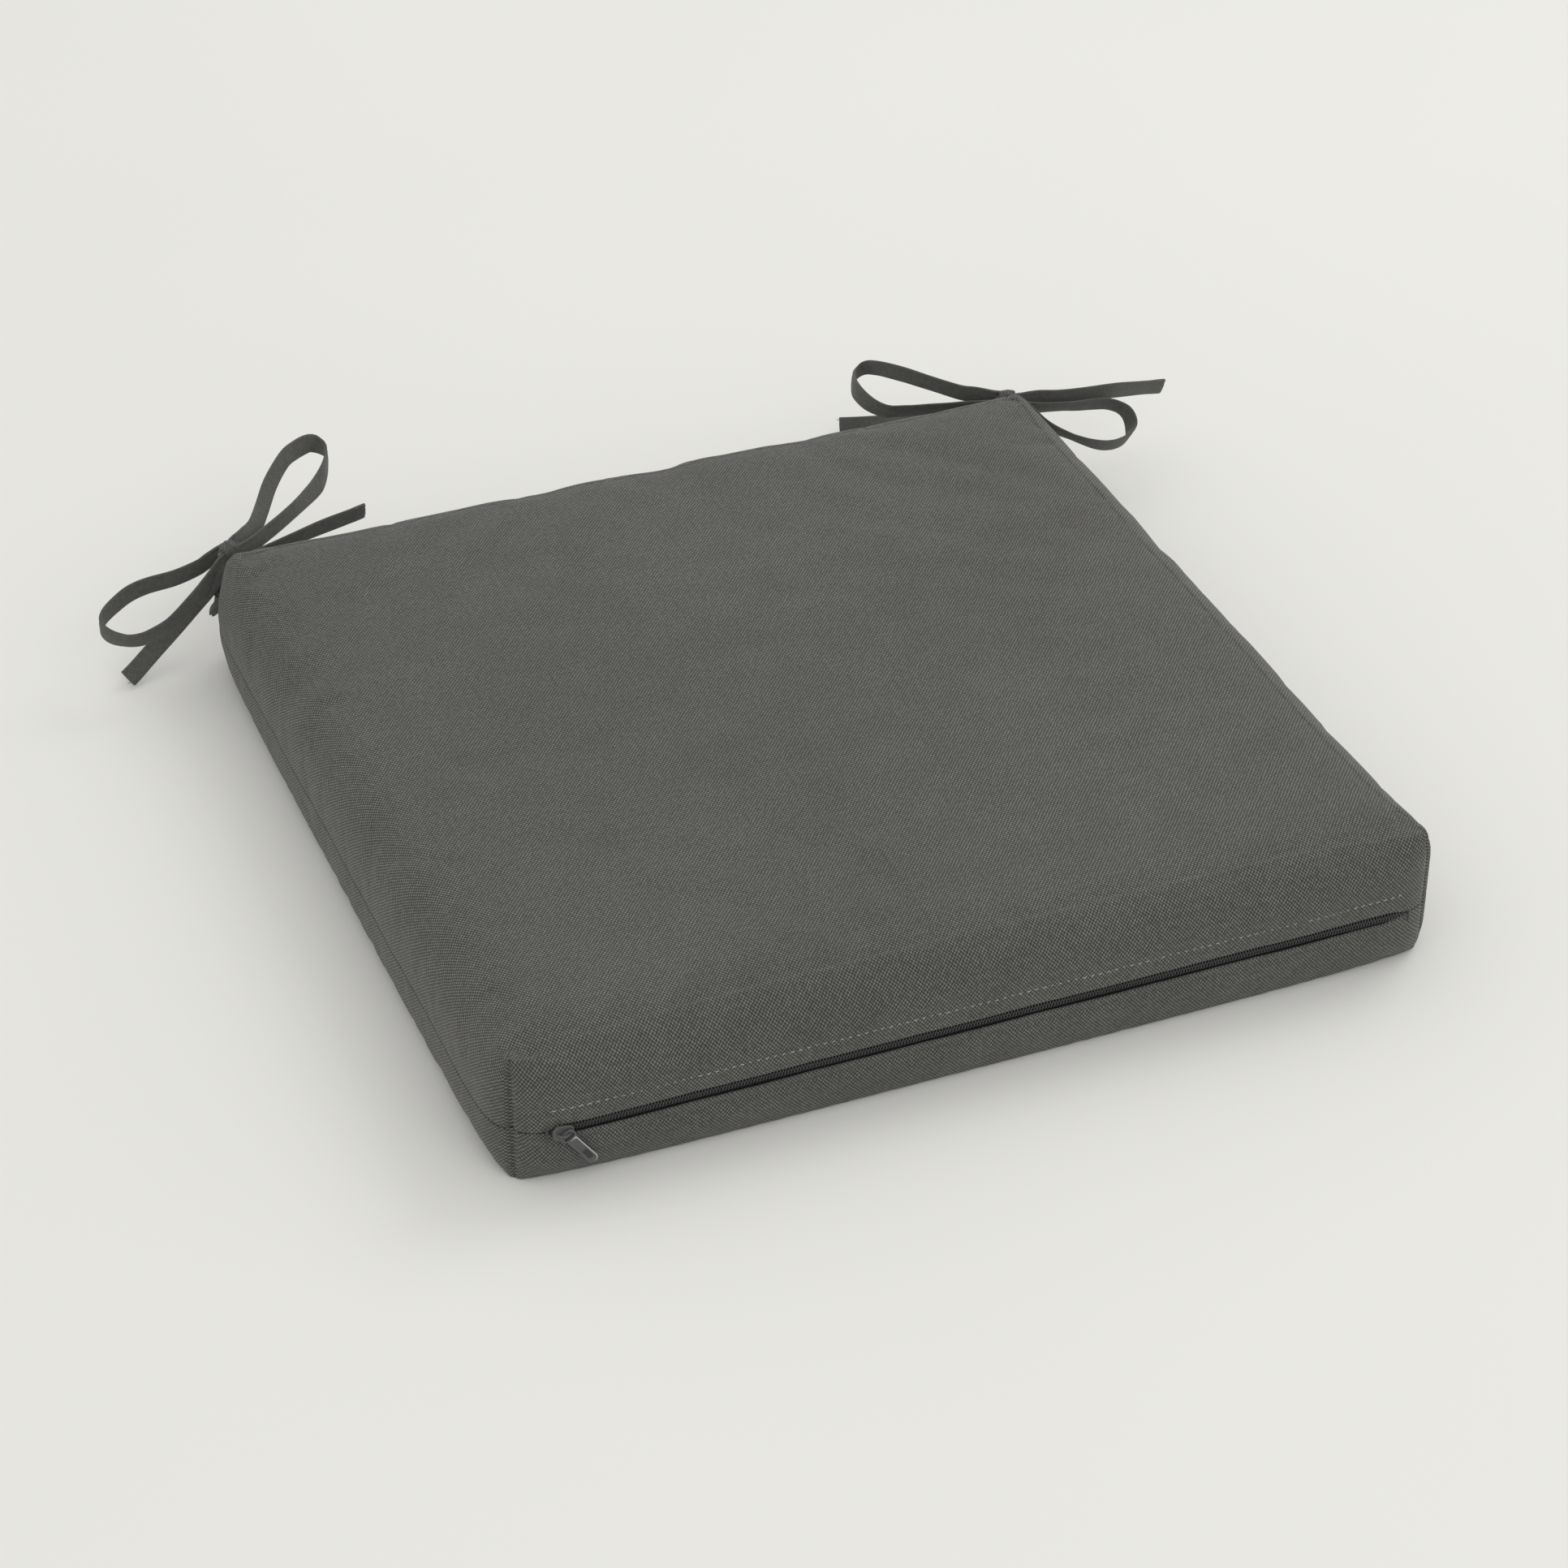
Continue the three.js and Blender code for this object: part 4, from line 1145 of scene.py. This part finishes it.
class PAD_OT_ties(Operator):
    """Tie the four straps in two bows at the back corners"""

    bl_idname = "pad.ties"
    bl_label = "Ties"

    def execute(self, context):
        half = context.scene.pad_cover.side / 2
        material = cloth_material("strap_cloth", tone=1.65, turned=True, dots=0.42, scale=0.5)
        self.bow(
            "tie_left", (-half, half), (9, 15, 55.4), (1.0, 0.42, 0.12), material, 11,
            [
                ("strap_upper", LEFT_STEM + LEFT_LOOP_UPPER + LEFT_TAIL_LEFT, 0.0,
                 [(0, (0.5, 0.5, 0.6)), (0.14, UPRIGHT), (0.18, (-0.35, 0.25, 0.75)),
                   (0.40, (-0.3, 0.3, 0.8)),
                  (0.46, (0, 0.2, 1)), (0.52, UPRIGHT), (0.58, (-0.25, 0.2, 0.8)), (0.72, UPRIGHT),
                  (0.81, (-0.35, 0.35, 0.8)), (0.89, (-0.65, 0.5, 0.55)), (1, (-0.61, 0.52, 0.6))],
                 ("stem", "loop_upper", "tail_left")),
                ("strap_left", LEFT_STEM + LEFT_LOOP_LEFT + LEFT_TAIL_RIGHT, 2.2 * MM,
                 [(0, (0.5, 0.5, 0.6)), (0.17, UPRIGHT), (0.45, UPRIGHT), (0.52, (0, -0.4, 0.9)),
                  (0.59, (0, -0.3, 0.9)), (0.66, UPRIGHT), (0.76, UPRIGHT), (0.84, (0.1, -0.2, 0.95)),
                  (1, (0.1, -0.2, 0.95))],
                 ("loop_left", "tail_right")),
            ],
        )
        self.bow(
            "tie_right", (half, half), (-1.5, 15, 50.7), (1.0, -0.3, 0.05), material, 31,
            [
                ("strap_left", RIGHT_STEM + RIGHT_LOOP_LEFT + RIGHT_TAIL_RIGHT, 0.0,
                 [(0, (-0.5, 0.5, 0.6)), (0.17, UPRIGHT), (0.34, (0, -0.2, 0.9)), (0.43, (0, -0.2, 0.9)),
                  (0.48, UPRIGHT), (0.55, (0.3, -0.4, 0.8)), (0.68, (0, -0.4, 0.8)), (0.77, UPRIGHT),
                  (1, (0, -0.15, 0.9))],
                 ("stem", "loop_left", "tail_right")),
                ("strap_right", RIGHT_STEM + RIGHT_LOOP_RIGHT + RIGHT_TAIL_LEFT, -2.2 * MM,
                 [(0, (-0.5, 0.5, 0.6)), (0.2, UPRIGHT), (0.27, (0, -0.6, 0.8)), (0.36, (0.1, -0.6, 0.75)),
                  (0.42, (0.6, -0.3, 0.7)), (0.5, (0.1, -0.6, 0.75)), (0.58, (-0.1, -0.6, 0.75)),
                  (0.68, UPRIGHT), (0.75, UPRIGHT), (1, (0.5, 0.3, 0.8))],
                 ("loop_right", "tail_left")),
            ],
        )
        return {"FINISHED"}

    def bow(self, tie, corner, centre, axis, material, seed, straps):
        """Makes one bow: its knot first, then its two straps."""
        middle = np.array(centre) * MM + np.array([*corner, 0.0])
        tied = knot(tie + "_bow_knot", middle, axis, material, seed)
        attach(tied, "cushion")
        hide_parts(tie + "_knot")
        for number, (name, route, offset, leans, nodes) in enumerate(straps):
            made, line, run = strap(
                f"{tie}_{name}", corner, middle, route, leans, material,
                seed + 5 + number, offset)
            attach(made, "cushion")
            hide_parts(*[f"{tie}_{node}" for node in nodes])


# ---- Stitching ----


def stitch_row(form, xs, height, slant, seed):
    """One line of topstitch: each stitch is a short round grain that dives into the cloth at both ends."""
    sizes = bpy.context.scene.pad_stitch
    rng = np.random.default_rng(seed)
    share = np.linspace(-1, 1, 8)
    angle = np.linspace(0, 2 * HALF_TURN, 7)[:-1]
    tilt = slant + 0.07 * rng.normal(size=len(xs))
    reach = sizes.stitch / 2 * (1 + 0.08 * rng.normal(size=len(xs)))
    x = xs[:, None] + reach[:, None] * share[None]
    lift = reach[:, None] * share[None] * np.tan(tilt)[:, None]
    bed = form.front_place(xs, np.full(len(xs), height))
    radius = sizes.thread / 2 * (1 - np.abs(share) ** 4 * 0.75)
    proud = 0.28 * MM - 0.60 * MM * np.abs(share) ** 3.5
    centre = np.stack([
        x, np.broadcast_to(bed[:, 1:2], x.shape) - proud[None], bed[:, 2:3] + lift
    ], axis=-1)
    ring = radius[:, None, None] * np.stack([np.cos(angle), np.sin(angle)], axis=-1)[None]
    points = centre[:, :, None, :] + np.stack(
        [np.zeros(ring.shape[:2]), -ring[..., 1], ring[..., 0]], axis=-1
    )[None]
    count, rows, columns = points.shape[:3]
    faces = grid_faces(rows, columns, wrap=True)[:, ::-1]
    firsts = np.arange(count) * rows * columns
    all_faces = (firsts[:, None, None] + faces[None]).reshape(-1, 4)
    caps = [first + np.arange(columns) for first in firsts]
    caps += [first + (rows - 1) * columns + np.arange(columns)[::-1] for first in firsts]
    return points.reshape(-1, 3), all_faces, caps


class PAD_OT_stitching(Operator):
    """Sew the two topstitch lines and the tacks at the zipper's ends"""

    bl_idname = "pad.stitching"
    bl_label = "Stitching"

    def execute(self, context):
        form = cover_form()
        sizes = context.scene.pad_stitch
        bright = thread_material("thread_above", sizes.colour)
        # The lower row's thread is the upper row's thread darkened as painted shade.
        plain = thread_material("thread_below", sizes.painted_shade_colour_below)
        dark = thread_material("thread_of_tacks", sizes.colour_tack)
        for name, offset, slant, seed, material in (
            ("topstitch_upper", sizes.above, 0.12, 51, bright),
            ("topstitch_lower", -sizes.below, -0.05, 52, plain),
        ):
            low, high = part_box(name)
            xs = np.arange(low.x + sizes.pitch / 2, high.x, sizes.pitch)
            points, faces, caps = stitch_row(form, xs, SEAM_HEIGHT + offset, slant, seed)
            self.finish(new_piece("sewn_" + name, points, faces, material, caps=caps), name)
        for name in ("zipper_tack_left", "zipper_tack_right"):
            low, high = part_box(name)
            self.finish(self.tack("sewn_" + name, low, high, dark), name)
        return {"FINISHED"}

    def finish(self, piece, node):
        """Binds a piece of thread to the cushion in place of its node."""
        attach(piece, "cushion")
        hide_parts(node)

    def tack(self, name, low, high, material):
        """A dense bar of thread across the seam: a zigzag line, carried by a round section."""
        turns = 9
        share = np.linspace(0, 1, 12 * turns + 1)
        middle = (np.array(low) + np.array(high)) / 2
        size = np.array(high) - np.array(low)
        phase = share * turns * 2 * HALF_TURN
        x = middle[0] + 0.42 * size[0] * np.cos(phase)
        z = low[2] + size[2] * (0.06 + 0.88 * share)
        y = middle[1] + 0.15 * MM * np.cos(2 * phase)
        line = np.stack([x, y, z], axis=-1)
        ahead = unit(np.gradient(line, axis=0))
        side = unit(np.cross(ahead, np.array([0, 1.0, 0])))
        angle = np.linspace(0, 2 * HALF_TURN, 7)[:-1]
        ring = 0.24 * MM * np.stack([np.cos(angle), np.sin(angle)], axis=-1)
        points, faces, caps = swept(
            line, np.repeat(ring[None], len(line), axis=0), side, np.cross(ahead, side))
        return new_piece(name, points, faces, material, caps=caps)


# ---- Zipper ----


def coil_row(low, high, part, start):
    """One row of coil: a flat helix of nylon whose heads reach past the middle, between its neighbours."""
    sizes = bpy.context.scene.pad_zipper
    turns = math.floor((high.x - low.x) / sizes.pitch)
    steps = 10
    share = np.linspace(0, turns, turns * steps + 1)
    phase = share * 2 * HALF_TURN
    thick = sizes.filament / 2
    back, front = (high.y - thick), (low.y + thick)
    outer = high.z - thick if part == TOP else low.z + thick
    inner = SEAM_HEIGHT - part * 0.55 * MM
    swing = (1 - np.cos(phase)) / 2
    squared = swing**0.8 / (swing**0.8 + (1 - swing) ** 0.8)
    z = outer + (inner - outer) * squared
    y = (front + back) / 2 - (back - front) / 2 * np.sin(phase)
    x = low.x + sizes.pitch * (start + share * (turns - 1) / turns)
    line = np.stack([x, y, z], axis=-1)
    ahead = unit(np.gradient(line, axis=0))
    side = unit(np.cross(ahead, np.array([1.0, 0, 0])))
    angle = np.linspace(0, 2 * HALF_TURN, 6)[:-1]
    head = 1 + 0.25 * smooth_step(0.8, 1.0, squared)
    ring = thick * head[:, None, None] * np.stack([np.cos(angle), np.sin(angle)], axis=-1)[None]
    return swept(line, ring, side, np.cross(ahead, side))


def pill_plate(outline, front, thick, round_off):
    """A flat plate with a rounded rim, laid in the X-Z plane and facing -Y: rings of the outline shrink
    to the middle over the front and the back."""
    outline = np.asarray(outline)
    centre = outline.mean(axis=0)
    rim = np.radians([0, 22, 45, 68, 90])
    reach = np.linalg.norm(outline - centre, axis=1).min()
    inset = round_off / reach
    rings = []
    for scale in (0.04, 0.3, 0.6, 0.85, 0.93):
        rings.append((scale * (1 - inset), 0.0))
    for arc in rim:
        rings.append((1 - inset * (1 - np.sin(arc)), round_off * (1 - np.cos(arc))))
    for arc in rim[::-1]:
        rings.append((1 - inset * (1 - np.sin(arc)), thick - round_off * (1 - np.cos(arc))))
    for scale in (0.93, 0.6, 0.3, 0.04):
        rings.append((scale * (1 - inset), thick))
    points = []
    for scale, deep in rings:
        flat = centre + (outline - centre) * scale
        points.append(np.stack([flat[:, 0], np.full(len(flat), front + deep), flat[:, 1]], axis=-1))
    columns = len(outline)
    faces = grid_faces(len(rings), columns, wrap=True)
    last = (len(rings) - 1) * columns
    return np.concatenate(points), faces, (np.arange(columns)[::-1], last + np.arange(columns))


def rounded_outline(corners, radius, steps=5):
    """A polygon with its corners cut by arcs: each corner becomes a small quadratic curve."""
    corners = np.asarray(corners, float)
    before, after = np.roll(corners, 1, axis=0), np.roll(corners, -1, axis=0)
    start = corners + unit(before - corners) * radius
    end = corners + unit(after - corners) * radius
    t = np.linspace(0, 1, steps)[None, :, None]
    curve = (1 - t) ** 2 * start[:, None] + 2 * t * (1 - t) * corners[:, None] + t**2 * end[:, None]
    return curve.reshape(-1, 2)


def slider_shells():
    """The slider: two plates joined by a wedge, and the arch."""
    sizes = bpy.context.scene.pad_zipper
    low, high = SLIDER_LOW, SLIDER_HIGH
    half = (high.x - low.x) / 2
    nose = (high.z - low.z) / 2
    tail = nose * 6.4 / 8.4
    corners = [(-half, -nose * 0.5), (-0.55 * half, -nose), (0.75 * half, -tail), (half, -tail * 0.55),
               (half, tail * 0.55), (0.75 * half, tail), (-0.55 * half, nose), (-half, nose * 0.5)]
    outline = rounded_outline(corners, 0.9 * MM) + np.array([SLIDER_X, SEAM_HEIGHT])
    front = -SEAM_HALF - 0.4 * MM - sizes.plate
    back = high.y - sizes.plate
    shells = [
        pill_plate(outline, front, sizes.plate, 0.4 * MM),
        pill_plate(outline, back, sizes.plate, 0.4 * MM),
    ]
    wedge_x = low.x + 1.3 * MM
    wedge = rounded_outline(
        [(wedge_x - 1.2 * MM, SEAM_HEIGHT - 1 * MM), (wedge_x + 1.3 * MM, SEAM_HEIGHT - 0.5 * MM),
         (wedge_x + 1.3 * MM, SEAM_HEIGHT + 0.5 * MM), (wedge_x - 1.2 * MM, SEAM_HEIGHT + 1 * MM)], 0.4 * MM)
    shells.append(pill_plate(wedge, front + 0.5 * MM, back - front, 0.05 * MM))
    angle = np.radians(np.linspace(-14, 194, 27))
    arch = 2.7 * MM
    base = front
    line = np.stack([
        SLIDER_X - arch * np.cos(angle), base - arch * np.sin(angle), np.full_like(angle, SEAM_HEIGHT)
    ], axis=-1)
    ahead = unit(np.gradient(line, axis=0))
    wide = np.broadcast_to(np.array([0, 0, 1.0]), line.shape)
    thick = np.cross(ahead, wide)
    turn = np.linspace(0, 2 * HALF_TURN, 17)[:-1]
    ring = np.stack([
        0.62 * MM * np.sign(np.cos(turn)) * np.abs(np.cos(turn)) ** 0.6,
        0.42 * MM * np.sign(np.sin(turn)) * np.abs(np.sin(turn)) ** 0.6,
    ], axis=-1)
    shells.append(swept(line, np.repeat(ring[None], len(line), axis=0), wide, thick))
    return shells


def pull_shells(droop):
    """The pull: a tab with a raised rim and a sunk panel, and an eye that hangs on the arch."""
    low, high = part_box("zipper_pull")
    reach, width, thick = 23.5 * MM, 5.0 * MM, high.y - low.y
    eye_end, eye_half = 4.5 * MM, 3.2 * MM
    neck = eye_end + 1.2 * MM
    half = width / 2
    arc = np.radians(np.linspace(-90, 90, 17))
    tip = np.stack([reach - half + half * np.cos(arc), half * np.sin(arc)], axis=-1)
    lower = np.stack([np.linspace(neck, reach - half, 26)[:-1], np.full(25, -half)], axis=-1)
    upper = np.stack([np.linspace(reach - half, neck, 26)[1:], np.full(25, half)], axis=-1)
    foot = np.stack([np.full(9, eye_end + 0.3 * MM), np.linspace(half * 0.9, -half * 0.9, 9)], axis=-1)
    outline = np.concatenate([lower, tip, upper, foot])
    plate = tab_plate(outline, low.y, thick, reach, half, neck)
    angle = np.linspace(0, 2 * HALF_TURN, 41)[:-1]
    power = 2 / 3.2
    middle = eye_end / 2 + 0.1 * MM
    eye_x = middle + (eye_end / 2 + 0.1 * MM) * np.sign(np.cos(angle)) * np.abs(np.cos(angle)) ** power
    eye_z = eye_half * np.sign(np.sin(angle)) * np.abs(np.sin(angle)) ** power
    line = np.stack([eye_x, np.full_like(eye_x, (low.y + high.y) / 2), eye_z], axis=-1)
    ahead = unit(np.roll(line, -1, axis=0) - np.roll(line, 1, axis=0))
    through = np.broadcast_to(np.array([0, 1.0, 0]), line.shape)
    side = np.cross(through, ahead)
    turn = np.linspace(0, 2 * HALF_TURN, 13)[:-1]
    ring = np.stack([0.42 * MM * np.cos(turn), 0.5 * MM * np.sin(turn)], axis=-1)
    eye = swept(line, np.repeat(ring[None], len(line), axis=0), side, through, closed=True)
    marks = pull_painted_light_marks(len(outline), len(plate[0]), plate[0][:, 2])
    # The eye gets 0.15: a faint painted highlight.
    marks = np.concatenate([marks, np.full(len(eye[0]), 0.15)])
    return [turned_down(shell, droop) for shell in (plate, eye)], marks


def tab_plate(outline, front, thick, reach, half, neck):
    """The pull's flat part: rings of its outline, with a raised rim and a sunk window near its tip."""
    centre_line = np.stack(
        [np.clip(outline[:, 0], neck + half, reach - half), np.zeros(len(outline))],
        axis=-1)
    round_off = 0.3 * MM
    window = np.stack([
        reach - 8.6 * MM + (outline[:, 0] - neck) / (reach - neck) * 5.6 * MM, outline[:, 1] * 0.5
    ], axis=-1)
    window_middle = np.array([reach - 5.8 * MM, 0.0])
    flats = [(window_middle + (window - window_middle) * share, 0.45 * MM) for share in (0.02, 0.6, 1.0)]
    flats.append((window_middle + (window - window_middle) * 1.12, 0.12 * MM))
    rings = [(0.74, 0.12 * MM), (0.82, 0.0), (0.90, 0.0)]
    rings += [(1 - 0.1 * (1 - math.sin(a)), round_off * (1 - math.cos(a))) for a in np.radians([30, 60, 90])]
    rings += [
        (1 - 0.1 * (1 - math.sin(a)), thick - round_off * (1 - math.cos(a)))
        for a in np.radians([90, 60, 30])]
    rings += [(0.90, thick), (0.5, thick), (0.02, thick)]
    flats += [(centre_line + (outline - centre_line) * scale, deep) for scale, deep in rings]
    points = [
        np.stack([flat[:, 0], np.full(len(flat), front + deep), flat[:, 1]], axis=-1)
        for flat, deep in flats]
    columns = len(outline)
    faces = grid_faces(len(flats), columns, wrap=True)
    last = (len(flats) - 1) * columns
    return np.concatenate(points), faces, (np.arange(columns)[::-1], last + np.arange(columns))


def pull_painted_light_marks(outline_count, point_count, heights):
    """The rim attribute of the pull, which places its painted light: -1 for painted shade in its window, near
    1 for a painted highlight along its upper edge, less along the lower.
    """
    ring = np.arange(point_count) // outline_count
    # Painted highlight along the rim: 0.9 on the upper edge, 0.4 at mid height and 0.15 on the lower edge.
    edge = np.where(heights > 0.6 * MM, 0.9, np.where(heights < -0.6 * MM, 0.15, 0.4))
    return np.where(ring < 3, -1.0, np.where((ring >= 5) & (ring <= 9), edge, 0.0))


def turned_down(shell, droop):
    """A shell of the pull, turned down round its hinge end and put in its place on the slider."""
    points, faces, caps = shell
    hinge = next(joint for joint in frame["joints"] if joint["name"] == "pull_flip")["pos_m"]
    x = points[:, 0] * math.cos(droop) + points[:, 2] * math.sin(droop)
    z = points[:, 2] * math.cos(droop) - points[:, 0] * math.sin(droop)
    return np.stack([x + hinge[0], points[:, 1], z + hinge[2]], axis=-1), faces, caps


class PAD_OT_zipper(Operator):
    """Make the zipper's tapes, its two rows of coil, the slider and the pull"""

    bl_idname = "pad.zipper"
    bl_label = "Zipper"

    def execute(self, context):
        nylon, metal = nylon_material(), metal_material()
        for name, part, start in (("zipper_coil_upper", TOP, 0.5), ("zipper_coil_lower", BOTTOM, 1.0)):
            low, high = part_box(name)
            points, faces, caps = coil_row(low, high, part, start)
            coil = new_piece("wound_" + name, points, faces, nylon, caps=caps)
            self.finish(coil, name, "cushion", "zipper_coil")
        points, faces, caps = joined(slider_shells())
        slider = new_piece("cast_zipper_slider", points, faces, metal, caps=caps)
        self.finish(slider, "zipper_slider", "slider", "zipper_metal")
        shells, marks = pull_shells(math.radians(55))
        points, faces, caps = joined(shells)
        pull = new_piece("cast_zipper_pull", points, faces, metal, caps=caps)
        # The rim attribute carries where the pull gets painted highlight and painted shade.
        pull.data.attributes.new("rim", "FLOAT", "POINT").data.foreach_set("value", marks.astype(np.float32))
        self.finish(pull, "zipper_pull", "pull", "zipper_metal")
        tape = tape_material()
        for name in ("zipper_tape_upper", "zipper_tape_lower"):
            frame["nodes"][name].data.materials.clear()
            frame["nodes"][name].data.materials.append(tape)
        return {"FINISHED"}

    def finish(self, piece, node, body, slot):
        """Binds a piece of the zipper to its body in place of its node."""
        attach(piece, body)
        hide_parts(node)


# ---- Filling ----


WRAP_GAP = 3.0 * MM  # between the cover and the fibre wrap
ZIP_ROOM = 3.0 * MM  # more of it behind the zipper
WRAP_THICKNESS = 3.6 * MM


def wrap_shell(form, part):
    """Outside of one half of the fibre wrap: the cover's form, shrunk to its middle by the gap on every
    side, and drawn back behind the zipper along the front."""
    across = np.linspace(-1, 1, 61)
    angle = np.linspace(0.12, QUARTER_TURN, 12)
    s, t = np.meshgrid(across, across, indexing="ij")
    a, q = np.meshgrid(across, angle)
    face = form.face_points(part, across) + form.moved(part, None, across, across)
    patches = [(face + form.dart(s, t, face), part == TOP)]
    for side in SIDES:
        points = form.placed(form.side_points(part, side, a, q), side) + form.moved(part, side, across, angle)
        points += form.dart(np.ones_like(a), a, points)
        patches.append((points, part == BOTTOM))
    points, faces, first = [], [], 0
    for patch, flipped in patches:
        quads = grid_faces(*patch.shape[:2]) + first
        faces.append(quads[:, ::-1] if flipped else quads)
        points.append(patch.reshape(-1, 3))
        first += patch.shape[0] * patch.shape[1]
    points, faces, _ = welded(np.concatenate(points), np.concatenate(faces))
    middle = np.array([0, 0, form.c.height / 2])
    reach = np.array([form.half, form.half, form.c.height / 2])
    points = middle + (points - middle) * (1 - WRAP_GAP / reach)
    points[:, 1] += ZIP_ROOM * smooth_step(-0.9 * form.half, -form.half, points[:, 1])
    return points, faces


class PAD_OT_filling(Operator):
    """Wrap the foam core in its two sheets of fibre"""

    bl_idname = "pad.filling"
    bl_label = "Filling"

    def execute(self, context):
        form = cover_form()
        wadding = wadding_material()
        for part, name in ((TOP, "fibre_wrap_top"), (BOTTOM, "fibre_wrap_bottom")):
            points, faces = wrap_shell(form, part)
            wrap = new_piece("laid_" + name, points, faces, wadding)
            sheet = wrap.modifiers.new("Sheet", "SOLIDIFY")
            sheet.thickness = WRAP_THICKNESS
            sheet.offset = -1
            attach(wrap, "cushion")
            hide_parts(name)
        foam = frame["nodes"]["foam_core"].data
        foam.materials.clear()
        foam.materials.append(foam_material())
        return {"FINISHED"}


# ---- Add-on ----


class PAD_PT_panel(Panel):
    """Lists the pad's operators in the order in which they run"""

    bl_idname = "PAD_PT_panel"
    bl_label = "Chair Seat Pad"
    bl_space_type = "VIEW_3D"
    bl_region_type = "UI"
    bl_category = "Seat Pad"

    def draw(self, context):
        for operator in OPERATORS:
            self.layout.operator(operator.bl_idname)


OPERATORS = (PAD_OT_stage, PAD_OT_ties, PAD_OT_cover, PAD_OT_stitching, PAD_OT_zipper, PAD_OT_filling)
GROUPS = {
    "pad_cover": CoverSizes,
    "pad_cloth": ClothLook,
    "pad_ties": TieSizes,
    "pad_stitch": StitchSizes,
    "pad_zipper": ZipperSizes,
    "pad_stage": StageSettings,
}


def register():
    for name, group in GROUPS.items():
        bpy.utils.register_class(group)
        setattr(bpy.types.Scene, name, PointerProperty(type=group))
    for operator in (*OPERATORS, PAD_PT_panel):
        bpy.utils.register_class(operator)


def unregister():
    for operator in (*OPERATORS, PAD_PT_panel):
        bpy.utils.unregister_class(operator)
    for name, group in GROUPS.items():
        delattr(bpy.types.Scene, name)
        bpy.utils.unregister_class(group)


def main():
    register()
    bpy.ops.pad.stage()
    bpy.ops.pad.ties()
    bpy.ops.pad.cover()
    bpy.ops.pad.stitching()
    bpy.ops.pad.zipper()
    bpy.ops.pad.filling()


if __name__ == "__main__":
    main()
